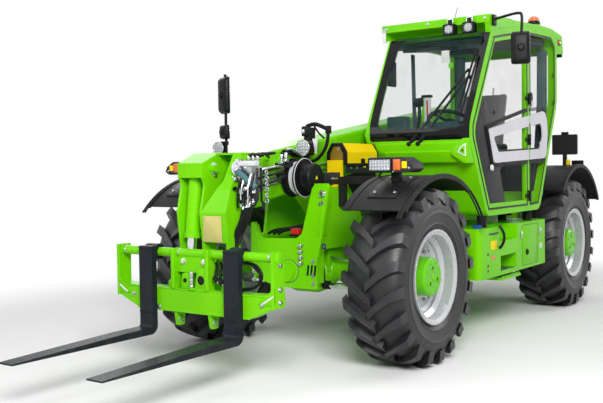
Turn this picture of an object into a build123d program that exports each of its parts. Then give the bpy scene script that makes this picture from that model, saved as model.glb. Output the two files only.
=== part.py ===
"""A telehandler with a two-stage boom, fork carriage, four steered wheels and a cab on its left side.

Everything is in millimetres. The pieces are laid out in the machine's own axes: x = 0 is the
centreline with +X to the machine's left, y = 0 is the front axle with -Y forward, and z = 0 is
the ground. At the end every piece is moved by FRAME_SHIFT, so that the origin of the finished
part is the bottom centre of its bounding box.
"""

from build123d import *
import os
from math import atan2, cos, degrees, hypot, radians, sin

# Overall sizes
WHEELBASE = 3040
FORK_REACH = 2370
REAR_OVERHANG = 820
HALF_WIDTH = 1130
MIRROR_REACH = 1420
RUNNING = 0.05
SEAT_GAP = 0.3

# Wheels and axles
TYRE_RADIUS = 620
TYRE_WIDTH = 440
RIM_RADIUS = 330
RIM_WIDTH = 400
WHEEL_X = 870
AXLE_Z = TYRE_RADIUS
KINGPIN_X = 700
KINGPIN_RADIUS = 25
SPINDLE_RADIUS = 60
HUB_RADIUS = 135
STEER_ARM = 150
AXLE_TUBE_RADIUS = 62

# Chassis
RAIL_X = 293
RAIL_WALL = 25
BELLY_Z = 480
DECK_Z = 950
AXLE_CLEAR_Z = 800
NOSE_Y = -300

# Boom
BOOM_X = -110
BOOM_PIVOT_Y = 3400
BOOM_PIVOT_Z = 1925
BOOM_SLOPE = 8.6
BOOM_WIDTH = 280
BOOM_HEIGHT = 340
BOOM_WALL = 14
BOOM_LENGTH = 4175
BOOM_TAIL = 150
PIVOT_RADIUS = 45
PAD = 10
TOWER_WALL = 25
TOWER_GAP = 8

# Boom head and carriage
HEAD_HALF = 215
HEAD_WALL = 22
TILT_Y = -1010
TILT_Z = 620
TILT_PIN_RADIUS = 30
CARRIAGE_HALF = 680
BEAM_FRONT_Y = -1200
BEAM_DEPTH = 105
BEAM_LOW_Z = 445
BEAM_TOP_Z = 600
SHAFT_Y = -1160
SHAFT_Z = 835
SHAFT_RADIUS = 30
FORK_SPREAD = 369
FORK_WIDTH = 120
FORK_THICKNESS = 45
FORK_LOW_Z = 285

# Cylinders
LIFT_FOOT = (3300, 900)
LIFT_EYE = (2400, 1538)
LIFT_BARREL_RADIUS = 70
LIFT_ROD_RADIUS = 42
TILT_FOOT = (-985, 1390)
TILT_EYE = (-1070, 712)
TILT_CYL_X = -235
TILT_BARREL_RADIUS = 50
TILT_ROD_RADIUS = 32
EYE_PIN_RADIUS = 25
EYE_GAP = 10

# Cab
CAB_LEFT = 1050
CAB_RIGHT = 50
CAB_WALL = 45
CAB_LOW_Z = 990
BAR_Y = 1840
BAR_WIDTH = 40
DOOR_HINGE = (1066, 1826)
HINGE_PIN_RADIUS = 8
HOOD_HINGE = (-398, 1434)
DOOR_GAP = 6
DOOR_THICKNESS = 35
DOOR_FRAME = 40
GLASS = 6

REAR_AXLE_Y = WHEELBASE
REAR_END_Y = WHEELBASE + REAR_OVERHANG
FRAME_SHIFT = (-(MIRROR_REACH - HALF_WIDTH) / 2, (FORK_REACH - REAR_END_Y) / 2, 0)


def block(x, y, z):
    """A box from three (low, high) pairs."""
    size = [abs(high - low) for low, high in (x, y, z)]
    middle = [(low + high) / 2 for low, high in (x, y, z)]
    return Pos(*middle) * Box(*size)


def outline(points, radius=0):
    """A closed face with straight sides; radius rounds all corners, or is a list with one per corner."""
    if radius:
        return make_face(FilletPolyline(*points, radius=radius, close=True))
    return make_face(Polyline(*points, close=True))


def side_plate(points, x_low, x_high, radius=0):
    """A (y, z) outline carried across the machine from x_low to x_high."""
    return extrude(Plane.YZ.offset(x_low) * outline(points, radius), amount=x_high - x_low)


def plan_plate(points, z_low, z_high, radius=0):
    """An (x, y) outline raised from z_low to z_high."""
    return extrude(Plane.XY.offset(z_low) * outline(points, radius), amount=z_high - z_low)


def front_plate(points, y_front, y_back, radius=0):
    """An (x, z) outline carried rearward from y_front to y_back."""
    plane = Plane(origin=(0, y_back, 0), x_dir=(1, 0, 0), z_dir=(0, -1, 0))
    return extrude(plane * outline(points, radius), amount=y_back - y_front)


def rod(start, end, radius):
    """A round bar between two points."""
    start, end = Vector(*start), Vector(*end)
    plane = Plane(origin=start, z_dir=end - start)
    return plane * Cylinder(radius, (end - start).length, align=(Align.CENTER, Align.CENTER, Align.MIN))


def pin_x(x_low, x_high, y, z, radius):
    """A round bar along X."""
    return rod((x_low, y, z), (x_high, y, z), radius)


def group(*shapes):
    """Several pieces that share one file, each its own solid."""
    return Compound(children=[solid for shape in shapes for solid in shape.solids()])


def mirrored(shape):
    return mirror(shape, about=Plane.YZ)


def turned(points, radii):
    """A closed (along axis, radius) outline turned about the X axis."""
    return revolve(outline(points, radii), Axis.X)


def at_wheel(shape, side, axle_y):
    """Puts a piece modelled about the origin, for the left side, at a wheel."""
    placed = Pos(WHEEL_X, 0, 0) * shape
    if side == "right":
        placed = mirrored(placed)
    return Pos(0, axle_y, AXLE_Z) * placed


def tyre():
    half = TYRE_WIDTH / 2
    bead = RIM_RADIUS - 23.5
    right = [(176, bead), (182, 345), (half, 455), (half - 8, 560), (half - 42, TYRE_RADIUS - 18), (60, TYRE_RADIUS)]
    points = right + [(-x, r) for x, r in reversed(right)]
    sides = [4, 20, 70, 60, 30, 200]
    return turned(points, sides + sides[::-1])


def wheel():
    """The rim with its drop centre and stepped disc, and the planetary hub bolted to it."""
    half = RIM_WIDTH / 2
    disc = half - 145
    hub_end = half - 28
    outer = [
        (half, RIM_RADIUS), (half - 14, RIM_RADIUS), (half - 18, RIM_RADIUS - 24), (120, RIM_RADIUS - 26),
        (95, 272), (-95, 272), (-120, RIM_RADIUS - 26), (-half + 18, RIM_RADIUS - 24),
        (-half + 14, RIM_RADIUS), (-half, RIM_RADIUS), (-half, RIM_RADIUS - 12), (-half + 12, 292),
        (-118, 288), (-98, 258), (disc - 32, 258), (disc - 12, 238), (disc - 12, 165), (20, 165), (20, 0),
        (hub_end, 0), (hub_end, HUB_RADIUS - 14), (hub_end - 14, HUB_RADIUS), (disc + 12, HUB_RADIUS),
        (disc + 12, 205), (disc, 212), (disc, 240), (disc + 20, 258), (95, 258), (118, 288),
        (half - 12, 292), (half, RIM_RADIUS - 12),
    ]
    body = turned(outer, 0)
    spindle_bore = pin_x(20, 100, 0, 0, SPINDLE_RADIUS + RUNNING)
    holes = Sketch() + [loc * Circle(17) for loc in PolarLocations(225, 8)]
    vents = extrude(Plane.YZ.offset(disc - 40) * holes, amount=80)
    studs = Sketch() + [loc * Circle(11) for loc in PolarLocations(180, 10)]
    nuts = extrude(Plane.YZ.offset(disc + 11) * studs, amount=17)
    return body - spindle_bore - vents + nuts


def knuckle():
    """The steered hub carrier of the left side, about the kingpin axis at the origin."""
    inner = 66
    flange = WHEEL_X + 20 - KINGPIN_X
    housing = turned(
        [(inner, 0), (inner, 98), (inner + 25, 118), (flange - 30, 118), (flange - SEAT_GAP, 100), (flange - SEAT_GAP, 0)], 0
    )
    spindle = pin_x(flange - 5, flange + 75, 0, 0, SPINDLE_RADIUS)
    ear = plan_plate([(inner + 30, -60), (inner + 30, 60), (0, 48), (-42, 24), (-42, -24), (0, -48)], 76, 104, 12)
    ears = ear + Pos(0, 0, -180) * ear
    pins = rod((0, 0, 30), (0, 0, 104), KINGPIN_RADIUS) + rod((0, 0, -104), (0, 0, -30), KINGPIN_RADIUS)
    return housing + spindle + ears + pins


def steer_arm(forward):
    """The arm that the steering rod pushes, on the side of the axle that forward names."""
    reach = -STEER_ARM if forward else STEER_ARM
    points = [(68, -reach * 0.13), (110, -reach * 0.13), (70, reach * 0.6), (26, reach * 1.15), (-24, reach * 1.15),
              (-24, reach * 0.87), (52, reach * 0.42)]
    if not forward:
        points = points[::-1]
    return plan_plate(points, -62, -40, 8)


def knuckle_at(side, axle_y, forward):
    shape = Pos(KINGPIN_X, 0, 0) * (knuckle() + steer_arm(forward))
    if side == "right":
        shape = mirrored(shape)
    return Pos(0, axle_y, AXLE_Z) * shape


def axle(axle_y, forward):
    """A steered drive axle: differential housing, tubes, kingpin fists and the steering cylinder."""
    tube = AXLE_TUBE_RADIUS
    fist = 70
    beam = turned(
        [(-600, 0), (-600, tube), (-260, tube + 14), (-150, 150), (-90, 172), (90, 172), (150, 150), (260, tube + 14),
         (600, tube), (600, 0)], 0
    )
    pin_hole = Cylinder(KINGPIN_RADIUS + RUNNING, 3 * fist)
    reach = -1 if forward else 1
    rod_z = -88
    cylinder = pin_x(-230, 230, reach * STEER_ARM, rod_z, 38)
    cylinder -= pin_x(-240, 240, reach * STEER_ARM, rod_z, 22 + RUNNING)
    brackets = [
        block((x - 16, x + 16), sorted((reach * 60, reach * (STEER_ARM - 30))), (rod_z - 22, rod_z + 30)) for x in (-190, 190)
    ]
    pads = [block((x - 35, x + 35), (-95, 95), (0, AXLE_CLEAR_Z - AXLE_Z)) for x in (-215, 215)]
    ends = []
    for x in (-KINGPIN_X, KINGPIN_X):
        end = Pos(x, 0, 0) * Cylinder(55, 2 * fist)
        ends.append(end)
    body = beam + ends + pads + brackets + cylinder
    neck = [pin_x(*sorted((s * 590, s * KINGPIN_X)), 0, 0, tube - 8) for s in (-1, 1)]
    body += neck
    for x in (-KINGPIN_X, KINGPIN_X):
        body -= Pos(x, 0, 0) * pin_hole
    body -= [Pos(x, 0, 0) * pin_hole for x in (-KINGPIN_X, KINGPIN_X)]
    body -= pin_x(-240, 240, reach * STEER_ARM, rod_z, 22 + RUNNING)
    return Pos(0, axle_y, AXLE_Z) * body


def steering_rod(axle_y, forward):
    """The double-ended rod of the steering cylinder, with an eye below each knuckle's arm."""
    y = -STEER_ARM if forward else STEER_ARM
    z = -88
    eyes = [Pos(x, y, z) * Cylinder(30, 24) for x in (-KINGPIN_X, KINGPIN_X)]
    return Pos(0, axle_y, AXLE_Z) * (pin_x(-KINGPIN_X, KINGPIN_X, y, z, 22) + eyes)


def chassis_frame():
    rear_notch = REAR_AXLE_Y
    rail = side_plate(
        [(NOSE_Y, 560), (NOSE_Y, 880), (-180, 900), (-120, 1240), (120, 1240), (420, DECK_Z), (REAR_AXLE_Y + 420, DECK_Z),
         (REAR_AXLE_Y + 500, 900), (REAR_AXLE_Y + 500, 560), (rear_notch + 420, 560), (rear_notch + 260, AXLE_CLEAR_Z),
         (rear_notch - 300, AXLE_CLEAR_Z), (rear_notch - 620, BELLY_Z), (640, BELLY_Z), (300, AXLE_CLEAR_Z),
         (-230, AXLE_CLEAR_Z), (-240, 560)],
        RAIL_X - RAIL_WALL, RAIL_X,
    )
    rails = rail + mirrored(rail)
    inside = RAIL_X - RAIL_WALL
    nose = front_plate(
        [(-RAIL_X, 640), (-RAIL_X, 985), (-262, 990), (-235, 962), (-222, 915), (-180, 872), (120, 880), (168, 915),
         (262, 1240), (290, 1274), (385, 1274), (408, 1245), (330, 860), (RAIL_X, 700), (RAIL_X, 520), (-60, 520), (-200, 560)],
        NOSE_Y - 30, NOSE_Y,
    )
    boss = rod((30, NOSE_Y - 48, 628), (30, NOSE_Y - 20, 628), 66)
    cheek = side_plate([(NOSE_Y - 10, 900), (NOSE_Y - 10, 1274), (-100, 1240), (-100, 900)], 268, 293)
    floor = block((-inside, inside), (NOSE_Y, 420), (AXLE_CLEAR_Z, AXLE_CLEAR_Z + 20))
    firewall = block((-inside, inside), (500, 525), (BELLY_Z + 20, DECK_Z - 20))
    belly = block((-inside, inside), (640, REAR_AXLE_Y - 620), (BELLY_Z, BELLY_Z + 16))
    deck_front = block((-inside, inside), (480, 1250), (DECK_Z - 20, DECK_Z))
    deck_rear = block((-inside, inside), (2720, REAR_AXLE_Y + 420), (DECK_Z - 20, DECK_Z))
    deck_rear -= block((BOOM_X - 110, BOOM_X + 110), (2700, LIFT_FOOT[0] + 70), (DECK_Z - 30, DECK_Z + 10))
    saddle = block((-inside, inside), (REAR_AXLE_Y - 250, LIFT_FOOT[0] + 100), (AXLE_CLEAR_Z, AXLE_CLEAR_Z + 20))
    tail = front_plate([(-inside, 560), (inside, 560), (inside, DECK_Z), (-inside, DECK_Z)],
                       REAR_AXLE_Y + 470, REAR_AXLE_Y + 500)
    lift_lugs = []
    lug_in = LIFT_BARREL_RADIUS + 10
    for x in (BOOM_X - lug_in - 22, BOOM_X + lug_in):
        foot_y, foot_z = LIFT_FOOT
        lift_lugs.append(side_plate(
            [(foot_y - 110, AXLE_CLEAR_Z + 5), (foot_y + 95, AXLE_CLEAR_Z + 5), (foot_y + 42, foot_z + 46),
             (foot_y - 42, foot_z + 46)], x, x + 22, [4, 4, 30, 30]))
    outriggers = []
    for y in (960, 2080):
        outriggers.append(block((RAIL_X, 660), (y, y + 90), (640, 880)))
        outriggers.append(block((-640, -RAIL_X), (y, y + 90), (520, 700 - SEAT_GAP)))
    towers = []
    tower_in = BOOM_WIDTH / 2 + TOWER_GAP
    for x in (BOOM_X - tower_in - TOWER_WALL, BOOM_X + tower_in):
        plate = side_plate(
            [(2800, DECK_Z - 150), (3180, BOOM_PIVOT_Z - 60), (3300, BOOM_PIVOT_Z + 110), (3500, BOOM_PIVOT_Z + 110),
             (3560, 1500), (3530, DECK_Z - 150)], x, x + TOWER_WALL, 45,
        )
        towers.append(plate)
    frame = rails + nose + boss + cheek + floor + firewall + belly + deck_front + deck_rear + saddle + tail
    frame += lift_lugs + outriggers + towers
    frame -= pin_x(-600, 600, BOOM_PIVOT_Y, BOOM_PIVOT_Z, PIVOT_RADIUS + RUNNING)
    lift_pin = pin_x(BOOM_X - lug_in - 10, BOOM_X + lug_in + 10, *LIFT_FOOT, EYE_PIN_RADIUS)
    return frame + lift_pin


def boom_place(shape):
    """Puts a piece modelled with the boom level and its pivot at the origin where the boom rests."""
    return Pos(BOOM_X, BOOM_PIVOT_Y, BOOM_PIVOT_Z) * Rot(BOOM_SLOPE, 0, 0) * shape


def boom_point(y, z):
    """A point of the resting boom's side view, (y, z) in machine axes, in the level boom's own axes."""
    angle = radians(-BOOM_SLOPE)
    dy, dz = y - BOOM_PIVOT_Y, z - BOOM_PIVOT_Z
    return dy * cos(angle) - dz * sin(angle), dy * sin(angle) + dz * cos(angle)


def boom_outer():
    half_w, half_h = BOOM_WIDTH / 2, BOOM_HEIGHT / 2
    wall = BOOM_WALL
    shell = block((-half_w, half_w), (-BOOM_LENGTH, BOOM_TAIL), (-half_h, half_h))
    shell = fillet(shell.edges().filter_by(Axis.Y), 24)
    cavity = block((-half_w + wall, half_w - wall), (-BOOM_LENGTH - 1, -260), (-half_h + wall, half_h - wall))
    collar = block((-half_w - 16, half_w + 16), (-BOOM_LENGTH, -BOOM_LENGTH + 70), (-half_h - 16, half_h + 16))
    eye_y, eye_z = boom_point(*LIFT_EYE)
    lug_in = LIFT_ROD_RADIUS + 4 + EYE_GAP
    lug_outline = [(eye_y - 150, -half_h + 5), (eye_y + 85, -half_h + 5), (eye_y + 42, eye_z - 42), (eye_y - 42, eye_z - 42)]
    lugs = []
    for x in (-lug_in - 22, lug_in):
        lugs.append(side_plate(lug_outline, x, x + 22, [4, 4, 28, 28]))
    lugs.append(pin_x(-lug_in - 32, -lug_in - 5, eye_y, eye_z, EYE_PIN_RADIUS))
    lugs.append(pin_x(lug_in + 5, lug_in + 32, eye_y, eye_z, EYE_PIN_RADIUS))
    shaft_ends = pin_x(-half_w - TOWER_GAP - TOWER_WALL - 10, half_w + TOWER_GAP + TOWER_WALL + 10, 0, 0, PIVOT_RADIUS)
    body = shell + collar - cavity + lugs + shaft_ends
    gap = PAD - SEAT_GAP
    for s in (-1, 1):
        body += block(sorted((s * (half_w - wall - gap), s * (half_w - wall))), (-BOOM_LENGTH, -BOOM_LENGTH + 120), (-90, 90))
        body += block((-70, 70), (-BOOM_LENGTH, -BOOM_LENGTH + 120), sorted((s * (half_h - wall - gap), s * (half_h - wall))))
    return boom_place(body)


def boom_inner():
    """The extending stage and its gooseneck head, which carries the tilting carriage."""
    half_w = BOOM_WIDTH / 2 - BOOM_WALL - PAD
    half_h = BOOM_HEIGHT / 2 - BOOM_WALL - PAD
    length = BOOM_LENGTH + 72
    tube = block((-half_w, half_w), (-length, -620), (-half_h, half_h))
    tube = fillet(tube.edges().filter_by(Axis.Y), 18)
    tube -= block((-half_w + 12, half_w - 12), (-length - 1, -600), (-half_h + 12, half_h - 12))
    tube = boom_place(tube)
    front_edge = [(-918, 1494), (-1046, 1250), (-1096, 1100), (-1072, 900)]
    head_outline = [(-775, 1150), (-775, 1494)] + front_edge + [
        (TILT_Y - 60, TILT_Z + 20), (TILT_Y - 40, TILT_Z - 56), (TILT_Y + 40, TILT_Z - 56), (TILT_Y + 58, TILT_Z + 20),
        (-950, 900), (-940, 1060), (-900, 1150),
    ]
    radii = [20, 40, 60, 120, 120, 60, 60, 35, 35, 60, 120, 60, 40]
    cap_outline = [(-775, 1150), (-775, 1494), (-905, 1496), (-1078, 1428), (-1078, 1330), (-1050, 1290)] + head_outline[4:]
    cap_radii = [20, 20, 40, 12, 12, 60] + radii[4:]
    left = BOOM_X + HEAD_HALF
    right = BOOM_X - HEAD_HALF
    middle = TILT_CYL_X + TILT_BARREL_RADIUS + 62
    plates = side_plate(cap_outline, right, right + HEAD_WALL, cap_radii)
    plates += side_plate(cap_outline, middle, middle + 18, cap_radii)
    plates += side_plate(head_outline, left - HEAD_WALL, left, radii)
    cap = side_plate([(-775, 1480), (-775, 1494), (-905, 1496), (-1078, 1428), (-1078, 1330), (-1066, 1330), (-1066, 1420),
                      (-902, 1482)], right, middle + 18, 0)
    top = block((middle, left), (-915, -775), (1480, 1494))
    back = block((right, left), (-797, -775), (1150, 1490))
    shelf = block((middle, left), (-1000, -780), (1150, 1164)) + block((right, middle + 5), (-905, -780), (1150, 1164))
    cover = side_plate(front_edge + [(-1060, 900), (-1084, 1098), (-1034, 1254), (-906, 1490)], middle, left)
    notch = front_plate([(middle + 18, 1110), (middle + 18, 1530), (left - 70, 1530), (left - 82, 1310)], -1200, -900)
    hub = pin_x(right, left, TILT_Y, TILT_Z, TILT_PIN_RADIUS + 26)
    hub &= block((middle, left), (-1200, -800), (400, 800))
    head = plates + cap + top + back + shelf + (cover - notch) + hub
    head -= pin_x(-600, 600, TILT_Y, TILT_Z, TILT_PIN_RADIUS + RUNNING)
    head += pin_x(right + 5, middle + 60, *TILT_FOOT, EYE_PIN_RADIUS)
    return tube + head


def carriage():
    beam_back = BEAM_FRONT_Y + BEAM_DEPTH
    half = CARRIAGE_HALF
    beam = front_plate(
        [(-half, BEAM_LOW_Z + 90), (-half + 210, BEAM_LOW_Z), (half - 210, BEAM_LOW_Z), (half, BEAM_LOW_Z + 90),
         (half, BEAM_TOP_Z + 10), (half - 190, BEAM_TOP_Z), (-half + 190, BEAM_TOP_Z), (-half, BEAM_TOP_Z + 10)],
        BEAM_FRONT_Y, beam_back,
    )
    shaft = pin_x(-half, half, SHAFT_Y, SHAFT_Z, SHAFT_RADIUS)
    ends = []
    for x in (-half, half - 25):
        ends.append(block((x, x + 25), (BEAM_FRONT_Y - 10, beam_back - 5), (BEAM_LOW_Z + 80, SHAFT_Z + 40)))
    ribs = []
    for x in (-170, 125):
        ribs.append(block((x, x + 25), (BEAM_FRONT_Y, BEAM_FRONT_Y + 62), (BEAM_TOP_Z - 10, SHAFT_Z + 32)))
    lugs = []
    for x in (-165, 130):
        lug = side_plate([(BEAM_FRONT_Y + 5, BEAM_LOW_Z + 10), (BEAM_FRONT_Y + 25, BEAM_LOW_Z - 95),
                          (beam_back - 20, BEAM_LOW_Z - 95), (beam_back - 5, BEAM_LOW_Z + 10)], x, x + 22, 12)
        lugs.append(lug - pin_x(x - 5, x + 30, BEAM_FRONT_Y + 52, BEAM_LOW_Z - 55, 18))
    bridge = block((-150, 130), (BEAM_FRONT_Y + 20, BEAM_FRONT_Y + 40), (BEAM_TOP_Z + 110, SHAFT_Z - 20))
    ears = []
    for x in (-HEAD_HALF - 27, HEAD_HALF + 5):
        ears.append(side_plate(
            [(BEAM_FRONT_Y + 40, BEAM_LOW_Z + 10), (BEAM_FRONT_Y + 40, BEAM_TOP_Z + 40), (TILT_Y - 40, TILT_Z + 70),
             (TILT_Y + 40, TILT_Z + 60), (TILT_Y + 60, TILT_Z - 10), (TILT_Y + 30, TILT_Z - 60), (TILT_Y - 30, BEAM_LOW_Z + 10)],
            x, x + 22, [8, 8, 50, 50, 40, 40, 8]))
    rise = TILT_CYL_X - BOOM_X
    clevis = []
    grip = TILT_ROD_RADIUS + 4 + EYE_GAP
    for x in (rise - grip - 18, rise + grip):
        clevis.append(side_plate(
            [(BEAM_FRONT_Y + 45, BEAM_TOP_Z - 20), (BEAM_FRONT_Y + 45, TILT_EYE[1]), (TILT_EYE[0] - 20, TILT_EYE[1] + 34),
             (TILT_EYE[0] + 24, TILT_EYE[1] + 34), (TILT_EYE[0] + 40, TILT_EYE[1] - 10), (BEAM_FRONT_Y + BEAM_DEPTH, BEAM_TOP_Z - 20)],
            x, x + 18, [4, 30, 20, 20, 20, 4]))
        outside = x - 1.5 if x < rise else x + 5
        clevis.append(pin_x(outside, outside + 15, *TILT_EYE, EYE_PIN_RADIUS))
    pin = pin_x(-HEAD_HALF - 34, HEAD_HALF + 34, TILT_Y, TILT_Z, TILT_PIN_RADIUS)
    body = beam + shaft + ends + ribs + lugs + bridge + ears + clevis + pin
    return Pos(BOOM_X, 0, 0) * body


def fork(side):
    """A forged fork: tapering blade, shank, and the eye that hangs on the carriage shaft."""
    front = BEAM_FRONT_Y - SEAT_GAP - FORK_THICKNESS
    back = front + FORK_THICKNESS
    heel = 60
    profile = [
        (-FORK_REACH, FORK_LOW_Z + 4), (-FORK_REACH, FORK_LOW_Z + 14), (front - 240, FORK_LOW_Z + FORK_THICKNESS),
        (front, FORK_LOW_Z + FORK_THICKNESS), (front, SHAFT_Z + 42), (back + 30, SHAFT_Z + 42), (back, SHAFT_Z - 60),
        (back, FORK_LOW_Z),
    ]
    blade = side_plate(profile, -FORK_WIDTH / 2, FORK_WIDTH / 2, [3, 3, 200, 20, 8, 8, 20, heel])
    eye = pin_x(-FORK_WIDTH / 2 + 10, FORK_WIDTH / 2 - 10, SHAFT_Y, SHAFT_Z, SHAFT_RADIUS + 24)
    body = blade + eye - pin_x(-FORK_WIDTH, FORK_WIDTH, SHAFT_Y, SHAFT_Z, SHAFT_RADIUS + RUNNING)
    spread = FORK_SPREAD if side == "left" else -FORK_SPREAD
    return Pos(BOOM_X + spread, 0, 0) * body


def cylinder_barrel(foot, eye, x, radius, rod_radius, length):
    """A hydraulic barrel with its foot eye; foot and eye are (y, z)."""
    run = hypot(eye[0] - foot[0], eye[1] - foot[1])
    tube = rod((0, 0, 0), (0, 0, length), radius) - rod((0, 0, radius * 0.9), (0, 0, length + 1), rod_radius + RUNNING)
    gland = rod((0, 0, length - 40), (0, 0, length), radius + 6) - rod((0, 0, 0), (0, 0, length + 1), rod_radius + RUNNING)
    boss = pin_x(-radius - 2, radius + 2, 0, 0, radius * 0.8)
    body = tube + gland + boss - pin_x(-200, 200, 0, 0, EYE_PIN_RADIUS + RUNNING)
    return along(body, foot, eye, x, run)


def cylinder_rod(foot, eye, x, rod_radius, start):
    """The piston rod, from start inside the barrel to its eye."""
    run = hypot(eye[0] - foot[0], eye[1] - foot[1])
    stick = rod((0, 0, start), (0, 0, run - EYE_PIN_RADIUS - 6), rod_radius)
    boss = pin_x(-rod_radius - 4, rod_radius + 4, 0, 0, EYE_PIN_RADIUS + 20)
    boss += pin_x(-rod_radius - 8, rod_radius + 8, 0, 0, EYE_PIN_RADIUS)
    return along(stick + Pos(0, 0, run) * boss, foot, eye, x, run)


def along(body, foot, eye, x, run):
    """Turns a piece modelled up the Z axis so that it points from foot to eye."""
    lean = degrees(atan2(eye[0] - foot[0], eye[1] - foot[1]))
    return Pos(x, foot[0], foot[1]) * Rot(-lean, 0, 0) * body


def fender(axle_y, centre_drop, radius, front_angle, rear_angle, arm_y):
    """A left mudguard: an arched sheet with a rolled outer edge and the bar that carries it."""
    centre_z = AXLE_Z - centre_drop
    inner_x, outer_x = 660, HALF_WIDTH
    sheet = 10

    def arch(r_low, r_high):
        first, last = 180 - front_angle, rear_angle
        ring = Circle(r_high) - Circle(r_low)
        sweep = [(0, 0)]
        reach = 2 * r_high
        steps = 6
        for k in range(steps + 1):
            angle = radians(last + (first - last) * k / steps)
            sweep.append((-reach * cos(angle) * -1, reach * sin(angle)))
        return ring & make_face(Polyline(*sweep, close=True))

    plane = Plane.YZ
    guard = extrude(plane.offset(inner_x) * arch(radius, radius + sheet), amount=outer_x - inner_x)
    lip = extrude(plane.offset(outer_x - 22) * arch(radius - 14, radius + sheet + 6), amount=22)
    body = Pos(0, axle_y, centre_z) * (guard + lip)
    return body


def front_fender():
    drop, radius = 142, 837
    top = AXLE_Z - drop + radius
    arm = block((RAIL_X + SEAT_GAP, 720), (-30, 30), (top - 50, top + 3))
    arm += block((RAIL_X + SEAT_GAP, RAIL_X + 40), (-30, 30), (1100, top))
    return fender(0, drop, radius, 48, 60, 0) + arm


def rear_fender():
    drop, radius = -54, 692
    top = AXLE_Z - drop + radius
    y = REAR_AXLE_Y
    arm = block((RAIL_X + SEAT_GAP, 720), (y + 170, y + 230), (1265, 1330))
    foot = block((RAIL_X + SEAT_GAP, RAIL_X + 50), (y + 170, y + 230), (860, 1330))
    return fender(y, drop, radius, 42, 30, 0) + arm + foot


def side_module():
    """The step, battery box and tank module under the cab."""
    low, high = BELLY_Z + 20, 895
    y0, y1 = 790, 2280
    left = 1050
    body = block((660, left), (y0, y1), (low, high))
    body = fillet(body.edges().filter_by(Axis.Z), 45)
    body -= block((860, left + 10), (1200, 1545), (low + 30, 655))
    body -= block((880, left + 10), (1185, 1560), (775, high + 10))
    step = block((840, left), (1230, 1640), (452, 472)) + block((850, 866), (1230, 1640), (460, low + 10))
    return body + step


def cab_outline(grow=0):
    """The cab's side view, offset by grow."""
    face = outline(
        [(925, CAB_LOW_Z), (578, 1640), (1035, 2440), (1260, 2482), (1750, 2566), (2440, 2592), (2583, 2500), (2583, 1950),
         (2110, CAB_LOW_Z)],
        [90, 260, 60, 300, 600, 60, 60, 300, 120],
    )
    return offset(face, amount=grow) if grow else face


def corner_cut(inset):
    """What the chamfer of the cab's front right corner takes away, its faces moved inward by inset."""
    cuts = []
    for lean in (-0.53, 0.53):
        inward = Vector(1.7, 1, lean).normalized()
        start = Vector(CAB_RIGHT, 772, 1642) + inward * inset
        wedge = Box(4000, 4000, 1500, align=(Align.CENTER, Align.CENTER, Align.MIN))
        cuts.append(Plane(origin=start, z_dir=-inward) * wedge)
    return cuts[0] + cuts[1]


def cab_slab(grow, x_low, x_high):
    slab = extrude(Plane.YZ.offset(x_low) * cab_outline(grow), amount=x_high - x_low)
    if x_low > 200:
        return slab
    return slab - corner_cut(-grow)


def screen_area(border):
    """The windscreen's front view, its edge moved inward by border, as a deep prism to trim with."""
    points = [(190, 1584), (174, 1900), (160, 2300), (160, 2470), (CAB_LEFT - 6, 2470), (CAB_LEFT - 6, 1584)]
    face = offset(outline(points, [20, 300, 300, 40, 40, 20]), amount=-border)
    plane = Plane(origin=(0, 1480, 0), x_dir=(1, 0, 0), z_dir=(0, -1, 0))
    return extrude(plane * face, amount=1200)


def right_window_area(x, thickness, gap):
    """The pane of the cab's right side, or with no gap and more thickness the hole for it."""
    area = extrude(Plane.YZ.offset(x) * cab_outline(-CAB_WALL - 35 - gap), amount=thickness)
    area &= block((x, x + thickness), (840, 2420 - gap), (1560 + gap, 2440 - gap))
    return area - corner_cut(CAB_WALL + 20 + gap)


def cab_frame():
    shell = cab_slab(0, CAB_RIGHT, CAB_LEFT) - cab_slab(-CAB_WALL, CAB_RIGHT + CAB_WALL, CAB_LEFT - CAB_WALL)
    side_hole = cab_slab(-CAB_WALL - 4, CAB_LEFT - 100, CAB_LEFT + 10)
    front_half = block((CAB_LEFT - 200, CAB_LEFT + 50), (0, BAR_Y - BAR_WIDTH / 2), (0, 3000))
    rear_half = block((CAB_LEFT - 200, CAB_LEFT + 50), (BAR_Y + BAR_WIDTH / 2, 3000), (0, 3000))
    shell -= side_hole & front_half
    shell -= side_hole & rear_half
    shell -= right_window_area(CAB_RIGHT - 10, 100, 0)
    shell -= screen_area(0) & (cab_slab(2, CAB_RIGHT, CAB_LEFT + 5) - cab_slab(-GLASS - 1, CAB_RIGHT - 5, CAB_LEFT + 5))
    shell -= screen_area(46)
    shell -= block((CAB_RIGHT + 150, CAB_LEFT - 58), (1000, 1480), (2380, 2800))
    shell -= block((CAB_RIGHT + 70, CAB_LEFT - 70), (2300, 2700), (1500, 2400))
    return shell


def cab_roof():
    """The roof behind the guard, with the lamp housing that overhangs the rear."""
    body = side_plate(
        [(1490, 2440), (1490, 2577), (2200, 2616), (2440, 2620), (2730, 2588), (2768, 2425), (2600, 2405), (2500, 2440)],
        CAB_RIGHT + 45, CAB_LEFT, [5, 10, 200, 200, 20, 12, 12, 5],
    )
    body -= extrude(Plane.YZ.offset(CAB_RIGHT - 5) * cab_outline(SEAT_GAP), amount=CAB_LEFT - CAB_RIGHT + 10)
    return body + Pos(985, 2160, 2618) * Cylinder(58, 16)


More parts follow.
